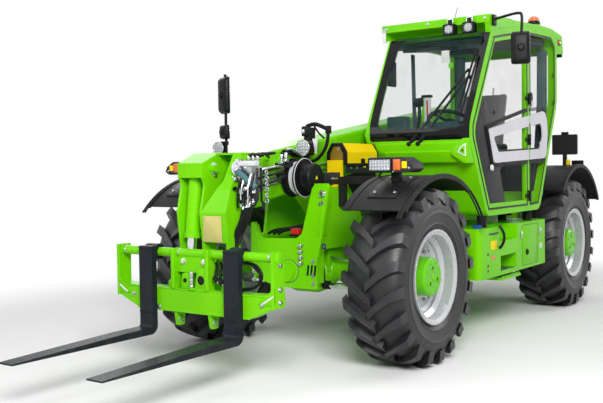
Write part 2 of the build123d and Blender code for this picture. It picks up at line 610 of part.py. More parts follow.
def roof_guard():
    """The barred guard over the upper windscreen: front beam, side rails and slats."""
    beam = side_plate([(1000, 2500), (1000, 2562), (1045, 2568), (1045, 2500)], CAB_RIGHT + 45, CAB_LEFT, 6)
    rail_outline = [(1005, 2500), (1005, 2562), (1120, 2562), (1485, 2582), (1485, 2440), (1090, 2400), (1035, 2400)]
    cheek_left = side_plate(rail_outline, CAB_LEFT - 45, CAB_LEFT, [4, 8, 30, 4, 4, 20, 8])
    cheek_right = side_plate(rail_outline, CAB_RIGHT + 45, CAB_RIGHT + 75, [4, 8, 30, 4, 4, 20, 8])
    guard = beam + cheek_left + cheek_right
    for k in range(6):
        slat = side_plate([(1240, 2515), (1240, 2565), (1250, 2565), (1250, 2515)], CAB_RIGHT + 60, CAB_LEFT - 20)
        guard += Pos(0, -130 + k * 62, k * 2) * slat
    return guard - extrude(Plane.YZ.offset(CAB_RIGHT - 5) * cab_outline(SEAT_GAP), amount=CAB_LEFT - CAB_RIGHT + 10)


def door_outline():
    face = cab_outline(-CAB_WALL - 4 - DOOR_GAP)
    keep = Pos(500 + (BAR_Y - BAR_WIDTH / 2 - DOOR_GAP - 500) / 2, 1500) * Rectangle(BAR_Y - BAR_WIDTH / 2 - DOOR_GAP - 500, 3000)
    return face & keep


def door_frame():
    plane = Plane.YZ.offset(CAB_LEFT - DOOR_THICKNESS)
    face = door_outline()
    inner = offset(face, amount=-DOOR_FRAME)
    return extrude(plane * (face - inner), amount=DOOR_THICKNESS)


def door_glass():
    plane = Plane.YZ.offset(CAB_LEFT - DOOR_THICKNESS / 2 - GLASS / 2)
    inner = offset(door_outline(), amount=-DOOR_FRAME - SEAT_GAP)
    return extrude(plane * inner, amount=GLASS)


def windscreen():
    slab = cab_slab(-0.7, CAB_RIGHT, CAB_LEFT) - cab_slab(-0.7 - GLASS, CAB_RIGHT - 5, CAB_LEFT + 5)
    return slab & screen_area(SEAT_GAP) & block((0, 1100), (300, 1480 - SEAT_GAP), (1000, 2800))


def cab_windows():
    """The fixed rear quarter, right side and rear panes."""
    quarter = extrude(Plane.YZ.offset(CAB_LEFT - 20) * cab_outline(-CAB_WALL - 4 - SEAT_GAP), amount=GLASS)
    quarter &= block((900, 1100), (BAR_Y + BAR_WIDTH / 2 + SEAT_GAP, 3000), (0, 3000))
    right = right_window_area(CAB_RIGHT + 15, GLASS, SEAT_GAP)
    rear = cab_slab(-12, CAB_RIGHT + 70 + SEAT_GAP, CAB_LEFT - 70 - SEAT_GAP) - cab_slab(-12 - GLASS, CAB_RIGHT, CAB_LEFT)
    rear &= block((0, 1100), (2300, 2700), (1500 + SEAT_GAP, 2400 - SEAT_GAP))
    return group(quarter, right, rear)


def cab_mounts():
    floor_top = 895
    spots = [(970, 1010), (970, 2010), (740, 1010), (740, 2010)]
    return group(*[
        Pos(x, y, (floor_top + CAB_LOW_Z) / 2) * Cylinder(38, CAB_LOW_Z - floor_top - 2 * SEAT_GAP) for x, y in spots
    ])


def seat_base():
    floor = CAB_LOW_Z + CAB_WALL
    return side_plate([(1500, floor + SEAT_GAP), (1860, floor + SEAT_GAP), (1900, 1300), (1460, 1300)], 330, 780, 20)


def seat_cushion():
    body = block((300, 810), (1390, 1850), (1300 + SEAT_GAP, 1430))
    return fillet(body.edges(), 30)


def seat_backrest():
    body = side_plate([(1851, 1300 + SEAT_GAP), (1950, 1300 + SEAT_GAP), (2110, 2050), (2010, 2050), (1851, 1420)], 310, 800, 25)
    return body


def dashboard():
    floor = CAB_LOW_Z + CAB_WALL
    console = side_plate([(1000, floor + SEAT_GAP), (1250, floor + SEAT_GAP), (1200, 1350), (1330, 1640), (1150, 1680), (900, 1500)],
                         400, 720, 25)
    return console + steering_place(rod((0, 0, -260), (0, 0, -85 - SEAT_GAP), 32))


def steering_place(shape):
    """Puts a piece modelled about the steering column, wheel rim at z = 0, in the cab."""
    return Pos(560, 1330, 1745) * Rot(-30, 0, 0) * shape


def steering_wheel():
    ring = Torus(190, 16)
    hub = Cylinder(45, 40)
    spokes = [Rot(0, 0, a) * Pos(95, 0, 0) * Box(190, 26, 14) for a in (0, 120, 240)]
    stem = Pos(0, 0, -50) * Cylinder(18, 70)
    knob = Pos(0, 190, 38) * Cylinder(24, 50)
    return steering_place(ring + hub + spokes + stem + knob)


def engine_block():
    return block((-970, -480), (980, 2020), (714 + SEAT_GAP, 1280))


def engine_hood():
    """A moulded hood over the engine, hinged along its inner top edge."""
    left, right = -410, -1080
    profile = [(right, 720), (right, 1280), (right + 140, 1420), (left, 1420), (left, 720)]
    outer = front_plate(profile, 800, 2270, [10, 90, 60, 8, 8])
    inner_profile = [(right + 20, 700), (right + 20, 1270), (right + 150, 1400), (left + 10, 1400), (left + 10, 700)]
    inner = front_plate(inner_profile, 820, 2250)
    x, z = HOOD_HINGE
    body = outer - inner
    for y in (1000, 2050):
        body += block((-426, x), (y - 30, y + 30), (1419, 1430)) + rod((x, y - 30, z), (x, y + 30, z), 14)
        body -= rod((x, y - 40, z), (x, y + 40, z), HINGE_PIN_RADIUS + RUNNING)
    return body


def hood_carrier():
    tank = block((-1075, -640 - SEAT_GAP), (810, 2260), (520, 714))
    floor = block((-700, -376), (810, 2260), (700, 714))
    panel = block((-388, -376), (810, 2260), (700, 1412))
    x, z = HOOD_HINGE
    hinges = []
    for y in (1000, 2050):
        for low in (y - 50, y + 36):
            hinges.append(block((-400, -376), (low, low + 14), (1400, z + 12)))
        hinges.append(rod((x, y - 50, z), (x, y + 50, z), HINGE_PIN_RADIUS))
    return tank + floor + panel + hinges


def counterweight():
    body = side_plate(
        [(REAR_AXLE_Y + 500 + SEAT_GAP, 560), (REAR_AXLE_Y + 500 + SEAT_GAP, 1040), (REAR_AXLE_Y + 700, 1040), (REAR_END_Y, 900),
         (REAR_END_Y, 620), (REAR_AXLE_Y + 700, 520)], -480, 480, 30,
    )
    front = REAR_AXLE_Y + 490
    plan = [(-290, front), (-480, front + 165), (-480, REAR_END_Y + 10), (480, REAR_END_Y + 10), (480, front + 165), (290, front)]
    return body & plan_plate(plan, 400, 1200)


def hose_reel():
    x0 = BOOM_X + BOOM_WIDTH / 2
    y, z = -265, 1315
    core = pin_x(x0 + 20, x0 + 170, y, z, 90)
    flanges = pin_x(x0 + 20, x0 + 35, y, z, 125) + pin_x(x0 + 120, x0 + 135, y, z, 125)
    hub = pin_x(x0 + 135, x0 + 230, y, z, 75)
    plate = pin_x(x0 + SEAT_GAP, x0 + 20, y, z, 60)
    return core + flanges + hub + plate


def coupling_block():
    x0 = BOOM_X + HEAD_HALF
    return block((x0 + SEAT_GAP, x0 + 110), (-960, -840), (1230, 1400))


def service_box():
    y0, y1 = 130, 600
    shape = front_plate([(105, 1405), (268, 1405), (268, 1500), (225, 1568), (148, 1568), (105, 1500)], y0, y1, 6)
    foot = block((120, RAIL_X), (0, 110), (1240 + SEAT_GAP, 1260)) + block((120, 250), (90, 110), (1250, 1440))
    foot += block((120, 250), (100, 140), (1420, 1440))
    return shape + foot


def head_lamps():
    left = block((760, 1060), (-390, -230), (1350, 1445)) + block((860, 960), (-262, -238), (1291.2, 1360))
    return group(left, mirrored(left))


def mirrors():
    arm = rod((1055, 1068, 2520), (1346, 905, 2475), 10) + rod((1346, 905, 2485), (1346, 905, 2300), 10)
    arm += block((CAB_LEFT + SEAT_GAP, 1066), (1040, 1090), (2480, 2560))
    glass = Pos(1337, 900, 2265) * Rot(0, 0, 22) * Box(158, 50, 260)
    left = arm + glass
    x, y = -1040, 300
    foot = block((x - 30, x + 30), (y - 25, y + 25), (1279.5, 1300))
    post = rod((x, y, 1290), (x, y, 2190), 12)
    big = Pos(x, y - 30, 2010) * Rot(0, 0, -20) * Box(160, 50, 330)
    small = Pos(x, y - 28, 1700) * Rot(0, 0, -20) * Box(130, 46, 130)
    return group(left, foot + post + big + small)


def work_lamps():
    """The two square lamps hung from the guard over the windscreen."""
    lamps = []
    for x in (735, 900):
        body = block((x - 48, x + 48), (930, 990), (2420, 2508))
        stalk = block((x - 10, x + 10), (960, 1000 - SEAT_GAP), (2490, 2545))
        lamps.append(fillet(body.edges(), 12) + stalk)
    return group(*lamps)


def boom_lamp():
    """The round lamp on a bracket over the boom's front end."""
    side = BOOM_X + BOOM_WIDTH / 2
    plate = side_plate([(-110, 1470), (-110, 1560), (-40, 1690), (60, 1690), (30, 1480)], side + SEAT_GAP, side + 10, 12)
    arm = block((side + 5, side + 60), (-110, -95), (1500, 1560))
    return plate + arm + rod((side + 60, -110, 1532), (side + 60, -175, 1532), 56)


def trim_ring():
    """The side view of the ring that strengthens the glazed side of the cab."""
    outer = outline([(945, 1667), (2258, 1875), (2285, 1660), (2254, 1444), (1050, 1403)], [25, 110, 60, 90, 40])
    inner = outline([(1033, 1607), (2127, 1754), (2150, 1640), (2073, 1523), (1133, 1490)], [15, 60, 40, 50, 25])
    return outer - inner


def trim_part(y_low, y_high):
    ring = extrude(Plane.YZ.offset(CAB_LEFT + SEAT_GAP) * trim_ring(), amount=14)
    return ring & block((1000, 1100), (y_low, y_high), (1000, 2000))


def door_leaves():
    """The door's half of each hinge: a knuckle round the pin and a leaf on the door's frame."""
    x, y = DOOR_HINGE
    leaves = []
    for z in (1120, 1600, 1950):
        leaf = block((CAB_LEFT + SEAT_GAP, CAB_LEFT + 8), (y - 70, y - 8), (z - 16, z + 16))
        leaf += block((CAB_LEFT + 4, x), (y - 22, y - 8), (z - 16, z + 16))
        ring = rod((x, y, z - 16), (x, y, z + 16), HINGE_PIN_RADIUS + 4.5) + leaf
        leaves.append(ring - rod((x, y, z - 20), (x, y, z + 20), HINGE_PIN_RADIUS + RUNNING))
    return group(*leaves)


def door_hinges():
    """Three black hinges on the door bar, each a leaf with two knuckles and the pin they hold."""
    x, y = DOOR_HINGE
    hinges = []
    for z in (1120, 1600, 1950):
        leaf = block((CAB_LEFT + SEAT_GAP, CAB_LEFT + 7), (BAR_Y - 2, BAR_Y + 18), (z - 46, z + 46))
        for low in (z - 46, z + 20):
            leaf += block((CAB_LEFT + SEAT_GAP, x), (y + 4, BAR_Y + 4), (low, low + 26))
            leaf += rod((x, y, low), (x, y, low + 26), HINGE_PIN_RADIUS + 4.5)
        hinges.append(leaf + rod((x, y, z - 46), (x, y, z + 46), HINGE_PIN_RADIUS))
    return group(*hinges)


def beacon():
    """The flashing lamp: a round base and a domed lens."""
    base = 2626 + SEAT_GAP
    lens = Pos(985, 2160, base + 26) * Cylinder(44, 52, align=(Align.CENTER, Align.CENTER, Align.MIN))
    lens = fillet(lens.edges().group_by(Axis.Z)[-1], 26)
    return lens + Pos(985, 2160, base) * Cylinder(50, 30, align=(Align.CENTER, Align.CENTER, Align.MIN))


def plate_holder():
    """The blank number plate board over the left rear fender."""
    board = block((800, 1050), (3185, 3210), (1480, 1680))
    strut = block((905, 945), (3190, 3205), (1360.6, 1500))
    return fillet(board.edges().filter_by(Axis.Y), 12) + strut


def tail_lamps():
    left = block((985, 1095), (REAR_AXLE_Y + 185, REAR_AXLE_Y + 215), (1351.8, 1420))
    return group(left, mirrored(left))


def build():
    left_front = front_fender()
    left_rear = rear_fender()
    parts = {
        "chassis_frame": chassis_frame(),
        "front_axle": axle(0, True),
        "rear_axle": axle(REAR_AXLE_Y, False),
        "front_steering_rod": steering_rod(0, True),
        "rear_steering_rod": steering_rod(REAR_AXLE_Y, False),
        "boom_outer": boom_outer(),
        "boom_inner": boom_inner(),
        "carriage": carriage(),
        "fork_left": fork("left"),
        "fork_right": fork("right"),
        "lift_cylinder_barrel": cylinder_barrel(LIFT_FOOT, LIFT_EYE, BOOM_X, LIFT_BARREL_RADIUS, LIFT_ROD_RADIUS, 985),
        "lift_cylinder_rod": cylinder_rod(LIFT_FOOT, LIFT_EYE, BOOM_X, LIFT_ROD_RADIUS, 100),
        "tilt_cylinder_barrel": cylinder_barrel(TILT_FOOT, TILT_EYE, TILT_CYL_X, TILT_BARREL_RADIUS, TILT_ROD_RADIUS, 470),
        "tilt_cylinder_rod": cylinder_rod(TILT_FOOT, TILT_EYE, TILT_CYL_X, TILT_ROD_RADIUS, 120),
        "front_fenders": group(left_front, mirrored(left_front)),
        "rear_fenders": group(left_rear, mirrored(left_rear)),
        "side_module": side_module(),
        "cab_frame": cab_frame(),
        "cab_roof": cab_roof(),
        "door_frame": door_frame(),
        "door_glass": door_glass(),
        "windscreen": windscreen(),
        "cab_windows": cab_windows(),
        "cab_mounts": cab_mounts(),
        "seat_base": seat_base(),
        "seat_cushion": seat_cushion(),
        "seat_backrest": seat_backrest(),
        "dashboard": dashboard(),
        "steering_wheel": steering_wheel(),
        "engine_block": engine_block(),
        "engine_hood": engine_hood(),
        "engine_tray": hood_carrier(),
        "counterweight": counterweight(),
        "hose_reel": hose_reel(),
        "coupling_block": coupling_block(),
        "service_box": service_box(),
        "head_lamps": head_lamps(),
        "mirrors": mirrors(),
        "beacon": beacon(),
        "work_lamps": work_lamps(),
        "boom_lamp": boom_lamp(),
        "door_trim": trim_part(900, BAR_Y - BAR_WIDTH / 2 - DOOR_GAP),
        "window_trim": trim_part(BAR_Y + BAR_WIDTH / 2, 2400),
        "door_hinges": door_hinges(),
        "door_leaves": door_leaves(),
        "roof_guard": roof_guard(),
        "plate_holder": plate_holder(),
        "tail_lamps": tail_lamps(),
    }
    for place, axle_y, forward in (("front", 0, True), ("rear", REAR_AXLE_Y, False)):
        for side in ("left", "right"):
            parts[f"{place}_{side}_tyre"] = at_wheel(tyre(), side, axle_y)
            parts[f"{place}_{side}_wheel"] = at_wheel(wheel(), side, axle_y)
            parts[f"{place}_{side}_knuckle"] = knuckle_at(side, axle_y, forward)
    return parts


def main():
    os.makedirs("parts", exist_ok=True)
    for name, shape in build().items():
        solids = [Pos(*FRAME_SHIFT) * solid for solid in shape.solids()]
        export_step(solids[0] if len(solids) == 1 else Compound(children=solids), f"parts/{name}.step")


if __name__ == "__main__":
    main()
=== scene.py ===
"""The looks of a telehandler: paints, tyres, cab trim, lamps, pipes and seat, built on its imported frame.

Shapes are drawn in the machine's own axes in millimetres: x = 0 is the centreline with +X to the
machine's left, y = 0 is the front axle with -Y forward, and z = 0 is the ground. A finished piece is
brought to metres and to the frame's origin as it is handed over.
"""
from math import cos, pi, radians, sin

import bmesh
import bpy
from mathutils import Matrix, Vector

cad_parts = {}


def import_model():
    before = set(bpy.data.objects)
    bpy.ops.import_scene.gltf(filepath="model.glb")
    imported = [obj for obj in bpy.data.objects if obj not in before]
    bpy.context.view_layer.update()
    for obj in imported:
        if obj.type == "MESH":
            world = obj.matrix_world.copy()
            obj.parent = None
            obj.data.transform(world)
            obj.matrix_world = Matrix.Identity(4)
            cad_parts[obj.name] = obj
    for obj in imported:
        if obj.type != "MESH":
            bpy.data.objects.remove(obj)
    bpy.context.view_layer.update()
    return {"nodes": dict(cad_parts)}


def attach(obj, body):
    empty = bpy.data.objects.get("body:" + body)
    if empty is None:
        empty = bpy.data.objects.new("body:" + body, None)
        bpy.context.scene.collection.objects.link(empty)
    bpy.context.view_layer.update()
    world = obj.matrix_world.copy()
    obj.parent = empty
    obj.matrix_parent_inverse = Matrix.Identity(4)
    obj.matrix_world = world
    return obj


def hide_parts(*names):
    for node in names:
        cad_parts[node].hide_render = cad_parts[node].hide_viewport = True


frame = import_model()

ORIGIN = Vector((145, 745, 0))
TO_FRAME = Matrix.Scale(0.001, 4) @ Matrix.Translation(-ORIGIN)

# Sizes that the pieces share with the frame
WHEEL_X = 870
WHEEL_Z = 620
REAR_AXLE_Y = 3040
TYRE_RADIUS = 620
BOOM_X = -110
CAB_LEFT = 1050
CAB_RIGHT = 50
SHAFT_Y, SHAFT_Z = -1160, 835


# Materials: one class writes shader maths as expressions

class Socket:
    """A socket of a finish; + - * / between sockets and numbers add Math nodes."""

    def __init__(self, finish, plug):
        self.finish = finish
        self.plug = plug

    def math(self, operation, *values):
        return self.finish.node("Math", {"operation": operation}, dict(enumerate(values)))

    def __add__(self, other):
        return self.math("ADD", self, other)

    def __sub__(self, other):
        return self.math("SUBTRACT", self, other)

    def __rsub__(self, other):
        return self.math("SUBTRACT", other, self)

    def __mul__(self, other):
        return self.math("MULTIPLY", self, other)

    def __truediv__(self, other):
        return self.math("DIVIDE", self, other)

    def __neg__(self):
        return self.math("MULTIPLY", self, -1)

    def __abs__(self):
        return self.math("ABSOLUTE", self)

    __radd__ = __add__
    __rmul__ = __mul__

    def root(self):
        return self.math("SQRT", self)

    def sine(self):
        return self.math("SINE", self)

    def above(self, limit):
        return self.math("GREATER_THAN", self, limit)

    def below(self, limit):
        return self.math("LESS_THAN", self, limit)

    def at_least(self, other):
        return self.math("MAXIMUM", self, other)

    def at_most(self, other):
        return self.math("MINIMUM", self, other)

    def ramp(self, low, high):
        """0 below low and 1 above high, smooth between; high may be the smaller one."""
        inputs = {"Value": self, "From Min": low, "From Max": high, "To Min": 0, "To Max": 1}
        return self.finish.node("MapRange", {"interpolation_type": "SMOOTHSTEP"}, inputs)


class Finish:
    """A material under construction."""

    def __init__(self, name):
        self.material = bpy.data.materials.new(name)
        self.material.use_nodes = True
        self.tree = self.material.node_tree
        self.tree.nodes.clear()
        self.spot = None

    def node(self, kind, settings=None, inputs=None, output=0):
        """Adds a node, its settings first and then its sockets, and gives one of its outputs."""
        made = self.tree.nodes.new("ShaderNode" + kind)
        for name, value in (settings or {}).items():
            setattr(made, name, value)
        for name, value in (inputs or {}).items():
            if isinstance(value, Socket):
                self.tree.links.new(value.plug, made.inputs[name])
            else:
                made.inputs[name].default_value = value
        return Socket(self, made.outputs[output]) if len(made.outputs) else None

    def coordinates(self):
        if self.spot is None:
            self.spot = self.node("TexCoord", output="Object")
        return self.spot

    def machine(self):
        """The machine's x, y and z in millimetres."""
        spot = self.coordinates()
        return [
            self.node("SeparateXYZ", None, {0: spot}, axis) * 1000 + ORIGIN["XYZ".index(axis)]
            for axis in "XYZ"
        ]

    def noise(self, scale, detail=3, roughness=0.5):
        inputs = {"Vector": self.coordinates(), "Scale": scale, "Detail": detail, "Roughness": roughness}
        return self.node("TexNoise", None, inputs, "Fac")

    def cells(self, scale):
        return self.node("TexVoronoi", None, {"Vector": self.coordinates(), "Scale": scale}, "Distance")

    def mix(self, factor, low, high):
        """The colour low where factor is 0 and high where it is 1."""
        low = low if isinstance(low, Socket) else (*low, 1)
        high = high if isinstance(high, Socket) else (*high, 1)
        return self.node("Mix", {"data_type": "RGBA"}, {0: factor, 6: low, 7: high}, 2)

    def relief(self, height, depth, strength=1.0, edge=0.0):
        """A normal with bumps depth metres deep, and edges eased by edge metres."""
        inputs = {"Height": height, "Distance": depth, "Strength": strength}
        if edge:
            inputs["Normal"] = self.node("Bevel", {"samples": 3}, {"Radius": edge})
        return self.node("Bump", None, inputs)

    def surface(self, **sockets):
        """Ends the finish in one surface shader; words in socket names are joined by _."""
        inputs = {name.replace("_", " "): value for name, value in sockets.items()}
        for name, value in inputs.items():
            if name in ("Base Color", "Emission Color", "Coat Tint") and not isinstance(value, Socket):
                inputs[name] = (*value, 1)
        shader = self.node("BsdfPrincipled", None, inputs)
        self.node("OutputMaterial", None, {"Surface": shader})
        return self.material


def paint(name, colour, deep, roughness, coat=0.15, dust=0.25, metal=0.0):
    """Sprayed paint: slight shade drift, orange peel, and a little road dust low down."""
    finish = Finish(name)
    drift = finish.noise(2.2, 2)
    body = finish.mix(drift.ramp(0.3, 0.75), colour, deep)
    x, y, z = finish.machine()
    low = z.ramp(900, 150) * finish.noise(14, 5).ramp(0.42, 0.72) * dust
    body = finish.mix(low, body, (0.20, 0.17, 0.12))
    worn = finish.noise(60, 4).ramp(0.35, 0.7) * 0.10 + roughness
    peel = finish.relief(finish.noise(300, 2), 0.0004, 0.05, 0.003)
    return finish.surface(Base_Color=body, Roughness=worn + low * 0.5, Normal=peel, Metallic=metal,
                          Coat_Weight=coat, Coat_Roughness=0.08, Specular_IOR_Level=0.09)


def moulded(name, colour, roughness, grain=900, depth=0.0005, edge=0.002, pale=None):
    """Moulded plastic or rubber: fine grain, faint cloudiness, eased edges."""
    finish = Finish(name)
    clouds = finish.noise(7, 4)
    body = finish.mix(clouds.ramp(0.3, 0.8), colour, pale or [min(1, 1.35 * c + 0.004) for c in colour])
    worn = finish.noise(45, 3) * 0.16 + (roughness - 0.08)
    skin = finish.relief(finish.noise(grain, 2), depth, 0.35, edge)
    return finish.surface(Base_Color=body, Roughness=worn, Normal=skin, Specular_IOR_Level=0.13)


def bare_metal(name, colour, roughness, streak=160):
    finish = Finish(name)
    body = finish.mix(finish.noise(30, 4), colour, [0.8 * c for c in colour])
    worn = finish.noise(streak, 3) * 0.18 + roughness
    skin = finish.relief(finish.noise(600, 2), 0.0003, 0.1, 0.0015)
    return finish.surface(Base_Color=body, Metallic=1.0, Roughness=worn, Normal=skin)


def lens(name, colour, alpha, roughness=0.05, ribs=0.0):
    """Clear or coloured lamp glass, ribbed where ribs is the pitch in metres."""
    finish = Finish(name)
    cloud = finish.noise(80, 2) * 0.06
    inputs = {"Base_Color": finish.mix(cloud, colour, [min(1, c + 0.2) for c in colour]),
              "Roughness": cloud + roughness, "Alpha": alpha, "Coat_Weight": 0.6, "Coat_Roughness": 0.03}
    if ribs:
        x, y, z = finish.machine()
        wave = (x * (2 * pi / (ribs * 1000))).sine() * 0.5 + (z * (2 * pi / (ribs * 1000))).sine() * 0.5
        inputs["Normal"] = finish.relief(wave, ribs * 0.4, 0.6)
    return finish.surface(**inputs)


def window_glass(name, tint, alpha):
    finish = Finish(name)
    smear = finish.noise(5, 5).ramp(0.45, 0.8)
    return finish.surface(Base_Color=tint, Roughness=smear * 0.05 + 0.02, Alpha=smear * 0.03 + alpha,
                          Specular_IOR_Level=0.3)


def rounded(finish, a, b, low, high, radius):
    """Distance in mm from a rounded rectangle in the plane of a and b, negative inside."""
    middle = [(low[k] + high[k]) / 2 for k in (0, 1)]
    half = [(high[k] - low[k]) / 2 - radius for k in (0, 1)]
    qa = abs(a - middle[0]) - half[0]
    qb = abs(b - middle[1]) - half[1]
    outer = (qa.at_least(0) * qa.at_least(0) + qb.at_least(0) * qb.at_least(0)).root()
    return outer + qa.at_least(qb).at_most(0) - radius


def bordered_screen():
    """The windscreen: tinted glass inside a printed black border."""
    finish = Finish("windscreen_glass")
    x, y, z = finish.machine()
    bow = (z - 2040) / 410
    leaning = x - bow * bow * 34 * (1 - (x - 215) / 800)
    edge = rounded(finish, leaning, z, (232, 1668), (992, 2440), 70)
    border = edge.ramp(-1.5, 1.5)
    dots = edge.ramp(-20, -2) * ((x * 0.9).sine() * (z * 0.9).sine()).above(0.2)
    cover = border.at_least(dots)
    smear = finish.noise(5, 5).ramp(0.45, 0.8)
    colour = finish.mix(cover, (0.05, 0.11, 0.11), (0.005, 0.005, 0.006))
    clear = smear * 0.02 + 0.07
    return finish.surface(Base_Color=colour, Roughness=smear * 0.05 + 0.04, Alpha=cover * (1 - clear) + clear,
                          Specular_IOR_Level=0.22)


def wheel_finish(name, axle_y):
    """Silver rim with the green planetary hub in its middle."""
    finish = Finish(name)
    x, y, z = finish.machine()
    away = ((y - axle_y) * (y - axle_y) + (z - WHEEL_Z) * (z - WHEEL_Z)).root()
    hub = away.ramp(139.5, 137.5)
    grime = finish.noise(9, 5).ramp(0.45, 0.8) * 0.3
    silver = finish.mix(grime, (0.56, 0.565, 0.59), (0.40, 0.40, 0.40))
    green = finish.mix(finish.noise(3), (0.135, 0.58, 0.002), (0.11, 0.48, 0.002))
    skin = finish.relief(finish.noise(420, 2), 0.0006, 0.1, 0.003)
    return finish.surface(Base_Color=finish.mix(hub, silver, green), Roughness=grime * 0.4 + 0.27,
                          Metallic=0.45 - hub * 0.45, Normal=skin, Coat_Weight=0.12, Coat_Roughness=0.1,
                          Specular_IOR_Level=0.3)


def tyre_finish(name, colour, dusty):
    finish = Finish(name)
    x, y, z = finish.machine()
    clouds = finish.noise(6, 5)
    body = finish.mix(clouds.ramp(0.42, 0.75), colour, dusty)
    worn = finish.noise(50, 4) * 0.2 + 0.34
    skin = finish.relief(finish.noise(260, 4) + finish.noise(38, 3) * 1.5, 0.0012, 0.35)
    return finish.surface(Base_Color=body, Roughness=worn, Normal=skin, Specular_IOR_Level=0.55)


def woven(name, colour, thread):
    """Seat cloth: a fine weave with darker gaps."""
    finish = Finish(name)
    x, y, z = finish.machine()
    pitch = 2 * pi / 4.0
    across = (x * pitch).sine()
    along = ((y + z) * pitch).sine()
    weave = across * along * 0.5 + 0.5
    body = finish.mix(weave, colour, thread)
    skin = finish.relief(weave + finish.noise(500, 2) * 0.4, 0.0009, 0.5)
    return finish.surface(Base_Color=body, Roughness=finish.noise(30) * 0.1 + 0.82, Normal=skin,
                          Sheen_Weight=0.25, Sheen_Roughness=0.5)


LIME = paint("lime_gloss", (0.185, 0.66, 0.002), (0.150, 0.58, 0.002), 0.28, coat=0.07, dust=0.05)
YELLOW = paint("yellow_gloss", (0.97, 0.71, 0.006), (0.93, 0.66, 0.006), 0.3, coat=0.15)
CHARCOAL = paint("charcoal_satin", (0.024, 0.023, 0.026), (0.019, 0.018, 0.021), 0.42, coat=0.05)
SILVER = paint("silver_satin", (0.70, 0.69, 0.74), (0.64, 0.63, 0.68), 0.32, coat=0.15, metal=0.1)
FORGED = paint("forged_black", (0.016, 0.020, 0.026), (0.012, 0.015, 0.020), 0.38, coat=0.05, dust=0.08)
RED = paint("red_gloss", (0.55, 0.02, 0.012), (0.45, 0.015, 0.01), 0.3)
WHITE = paint("white_gloss", (0.80, 0.80, 0.78), (0.74, 0.74, 0.72), 0.35, dust=0.1)
CREAM = paint("cream_plate", (0.66, 0.58, 0.22), (0.60, 0.52, 0.19), 0.4, coat=0.05, dust=0.1)
LAMP_FACE = lens("lamp_face", (0.50, 0.52, 0.56), 0.92, 0.14, ribs=0.022)
TEAL = paint("blue_grey_satin", (0.09, 0.20, 0.21), (0.07, 0.16, 0.17), 0.35, dust=0.05)
BLACK = moulded("black_moulding", (0.007, 0.007, 0.008), 0.38)
FENDER = moulded("fender_moulding", (0.012, 0.011, 0.012), 0.46, grain=1400, depth=0.0004)
GREY = moulded("grey_moulding", (0.035, 0.07, 0.074), 0.5)
INNER = moulded("cab_lining", (0.075, 0.125, 0.13), 0.6)
CEILING = moulded("roof_lining", (0.035, 0.05, 0.052), 0.6)
DARK_TRIM = moulded("dark_lining", (0.024, 0.023, 0.026), 0.5)
RUBBER = moulded("soft_black_rubber", (0.010, 0.010, 0.011), 0.55)
HOSE = moulded("hose_rubber", (0.008, 0.008, 0.009), 0.34, grain=300, depth=0.0008, edge=0)
CHROME = bare_metal("chrome_plate", (0.80, 0.80, 0.82), 0.06)
STEEL = bare_metal("zinc_steel", (0.56, 0.56, 0.57), 0.22)
IRON = moulded("cast_iron", (0.10, 0.10, 0.104), 0.55, grain=260, depth=0.0012)
MIRROR = bare_metal("mirror_silver", (0.72, 0.78, 0.74), 0.02)
CLEAR_LENS = lens("clear_lens", (0.62, 0.64, 0.68), 0.16, ribs=0.012)
REFLECTOR = bare_metal("lamp_reflector", (0.85, 0.85, 0.87), 0.08)
AMBER = lens("amber_lens", (0.90, 0.16, 0.008), 0.94, 0.12, ribs=0.010)
RED_LENS = lens("red_lens", (0.62, 0.012, 0.01), 0.95, 0.12, ribs=0.010)
WINDOW = window_glass("side_glass", (0.03, 0.045, 0.045), 0.06)
SMOKED = window_glass("smoked_panel", (0.035, 0.036, 0.04), 0.78)
SCREEN = bordered_screen()
TYRE = tyre_finish("tyre_rubber_skin", (0.009, 0.009, 0.011), (0.018, 0.018, 0.020))
# The lugs are painted a little paler than the carcass: painted light on the lug faces.
LUG_PAINTED_LIGHT = tyre_finish("lug_rubber_painted_light", (0.014, 0.014, 0.017), (0.030, 0.030, 0.033))
CLOTH = woven("seat_cloth", (0.16, 0.155, 0.16), (0.24, 0.235, 0.24))
GREY_EDGE = moulded("grey_edge_trim", (0.10, 0.10, 0.105), 0.5)
NAVY = moulded("navy_plate", (0.012, 0.02, 0.07), 0.4)
BLUE_CAP = moulded("blue_cap", (0.02, 0.08, 0.40), 0.4)
AMBER_SHEET = lens("amber_sheet", (0.30, 0.20, 0.02), 0.8, 0.2)
FRONT_WHEEL = wheel_finish("front_wheel_paint", 0)
REAR_WHEEL = wheel_finish("rear_wheel_paint", REAR_AXLE_Y)

BY_SLOT = {
    "lime_paint": LIME, "charcoal_paint": CHARCOAL, "black_plastic": BLACK, "grey_plastic": GREY,
    "silver_paint": SILVER, "tyre_rubber": TYRE, "clear_glass": WINDOW, "chrome_steel": CHROME,
    "forged_steel": FORGED, "soft_rubber": RUBBER, "seat_fabric": CLOTH, "amber_plastic": AMBER,
    "lamp_plastic": BLACK, "iron": IRON,
}
BY_NODE = {
    "windscreen": SCREEN, "front_fenders": FENDER, "rear_fenders": FENDER, "coupling_block": STEEL,
    "front_left_wheel": FRONT_WHEEL, "front_right_wheel": FRONT_WHEEL,
    "rear_left_wheel": REAR_WHEEL, "rear_right_wheel": REAR_WHEEL,
    "service_box": YELLOW, "plate_holder": CHARCOAL, "seat_base": DARK_TRIM,
}


def finish_frame():
    for name, node in frame["nodes"].items():
        for holder in node.material_slots:
            holder.material = BY_NODE.get(name) or BY_SLOT[holder.material.name.split(".")[0]]


# Shapes: each function gives a small mesh in millimetres

def sharp_edges(shape, angle=0.5):
    return [e for e in shape.edges if len(e.link_faces) == 2 and e.calc_face_angle(0) > angle]


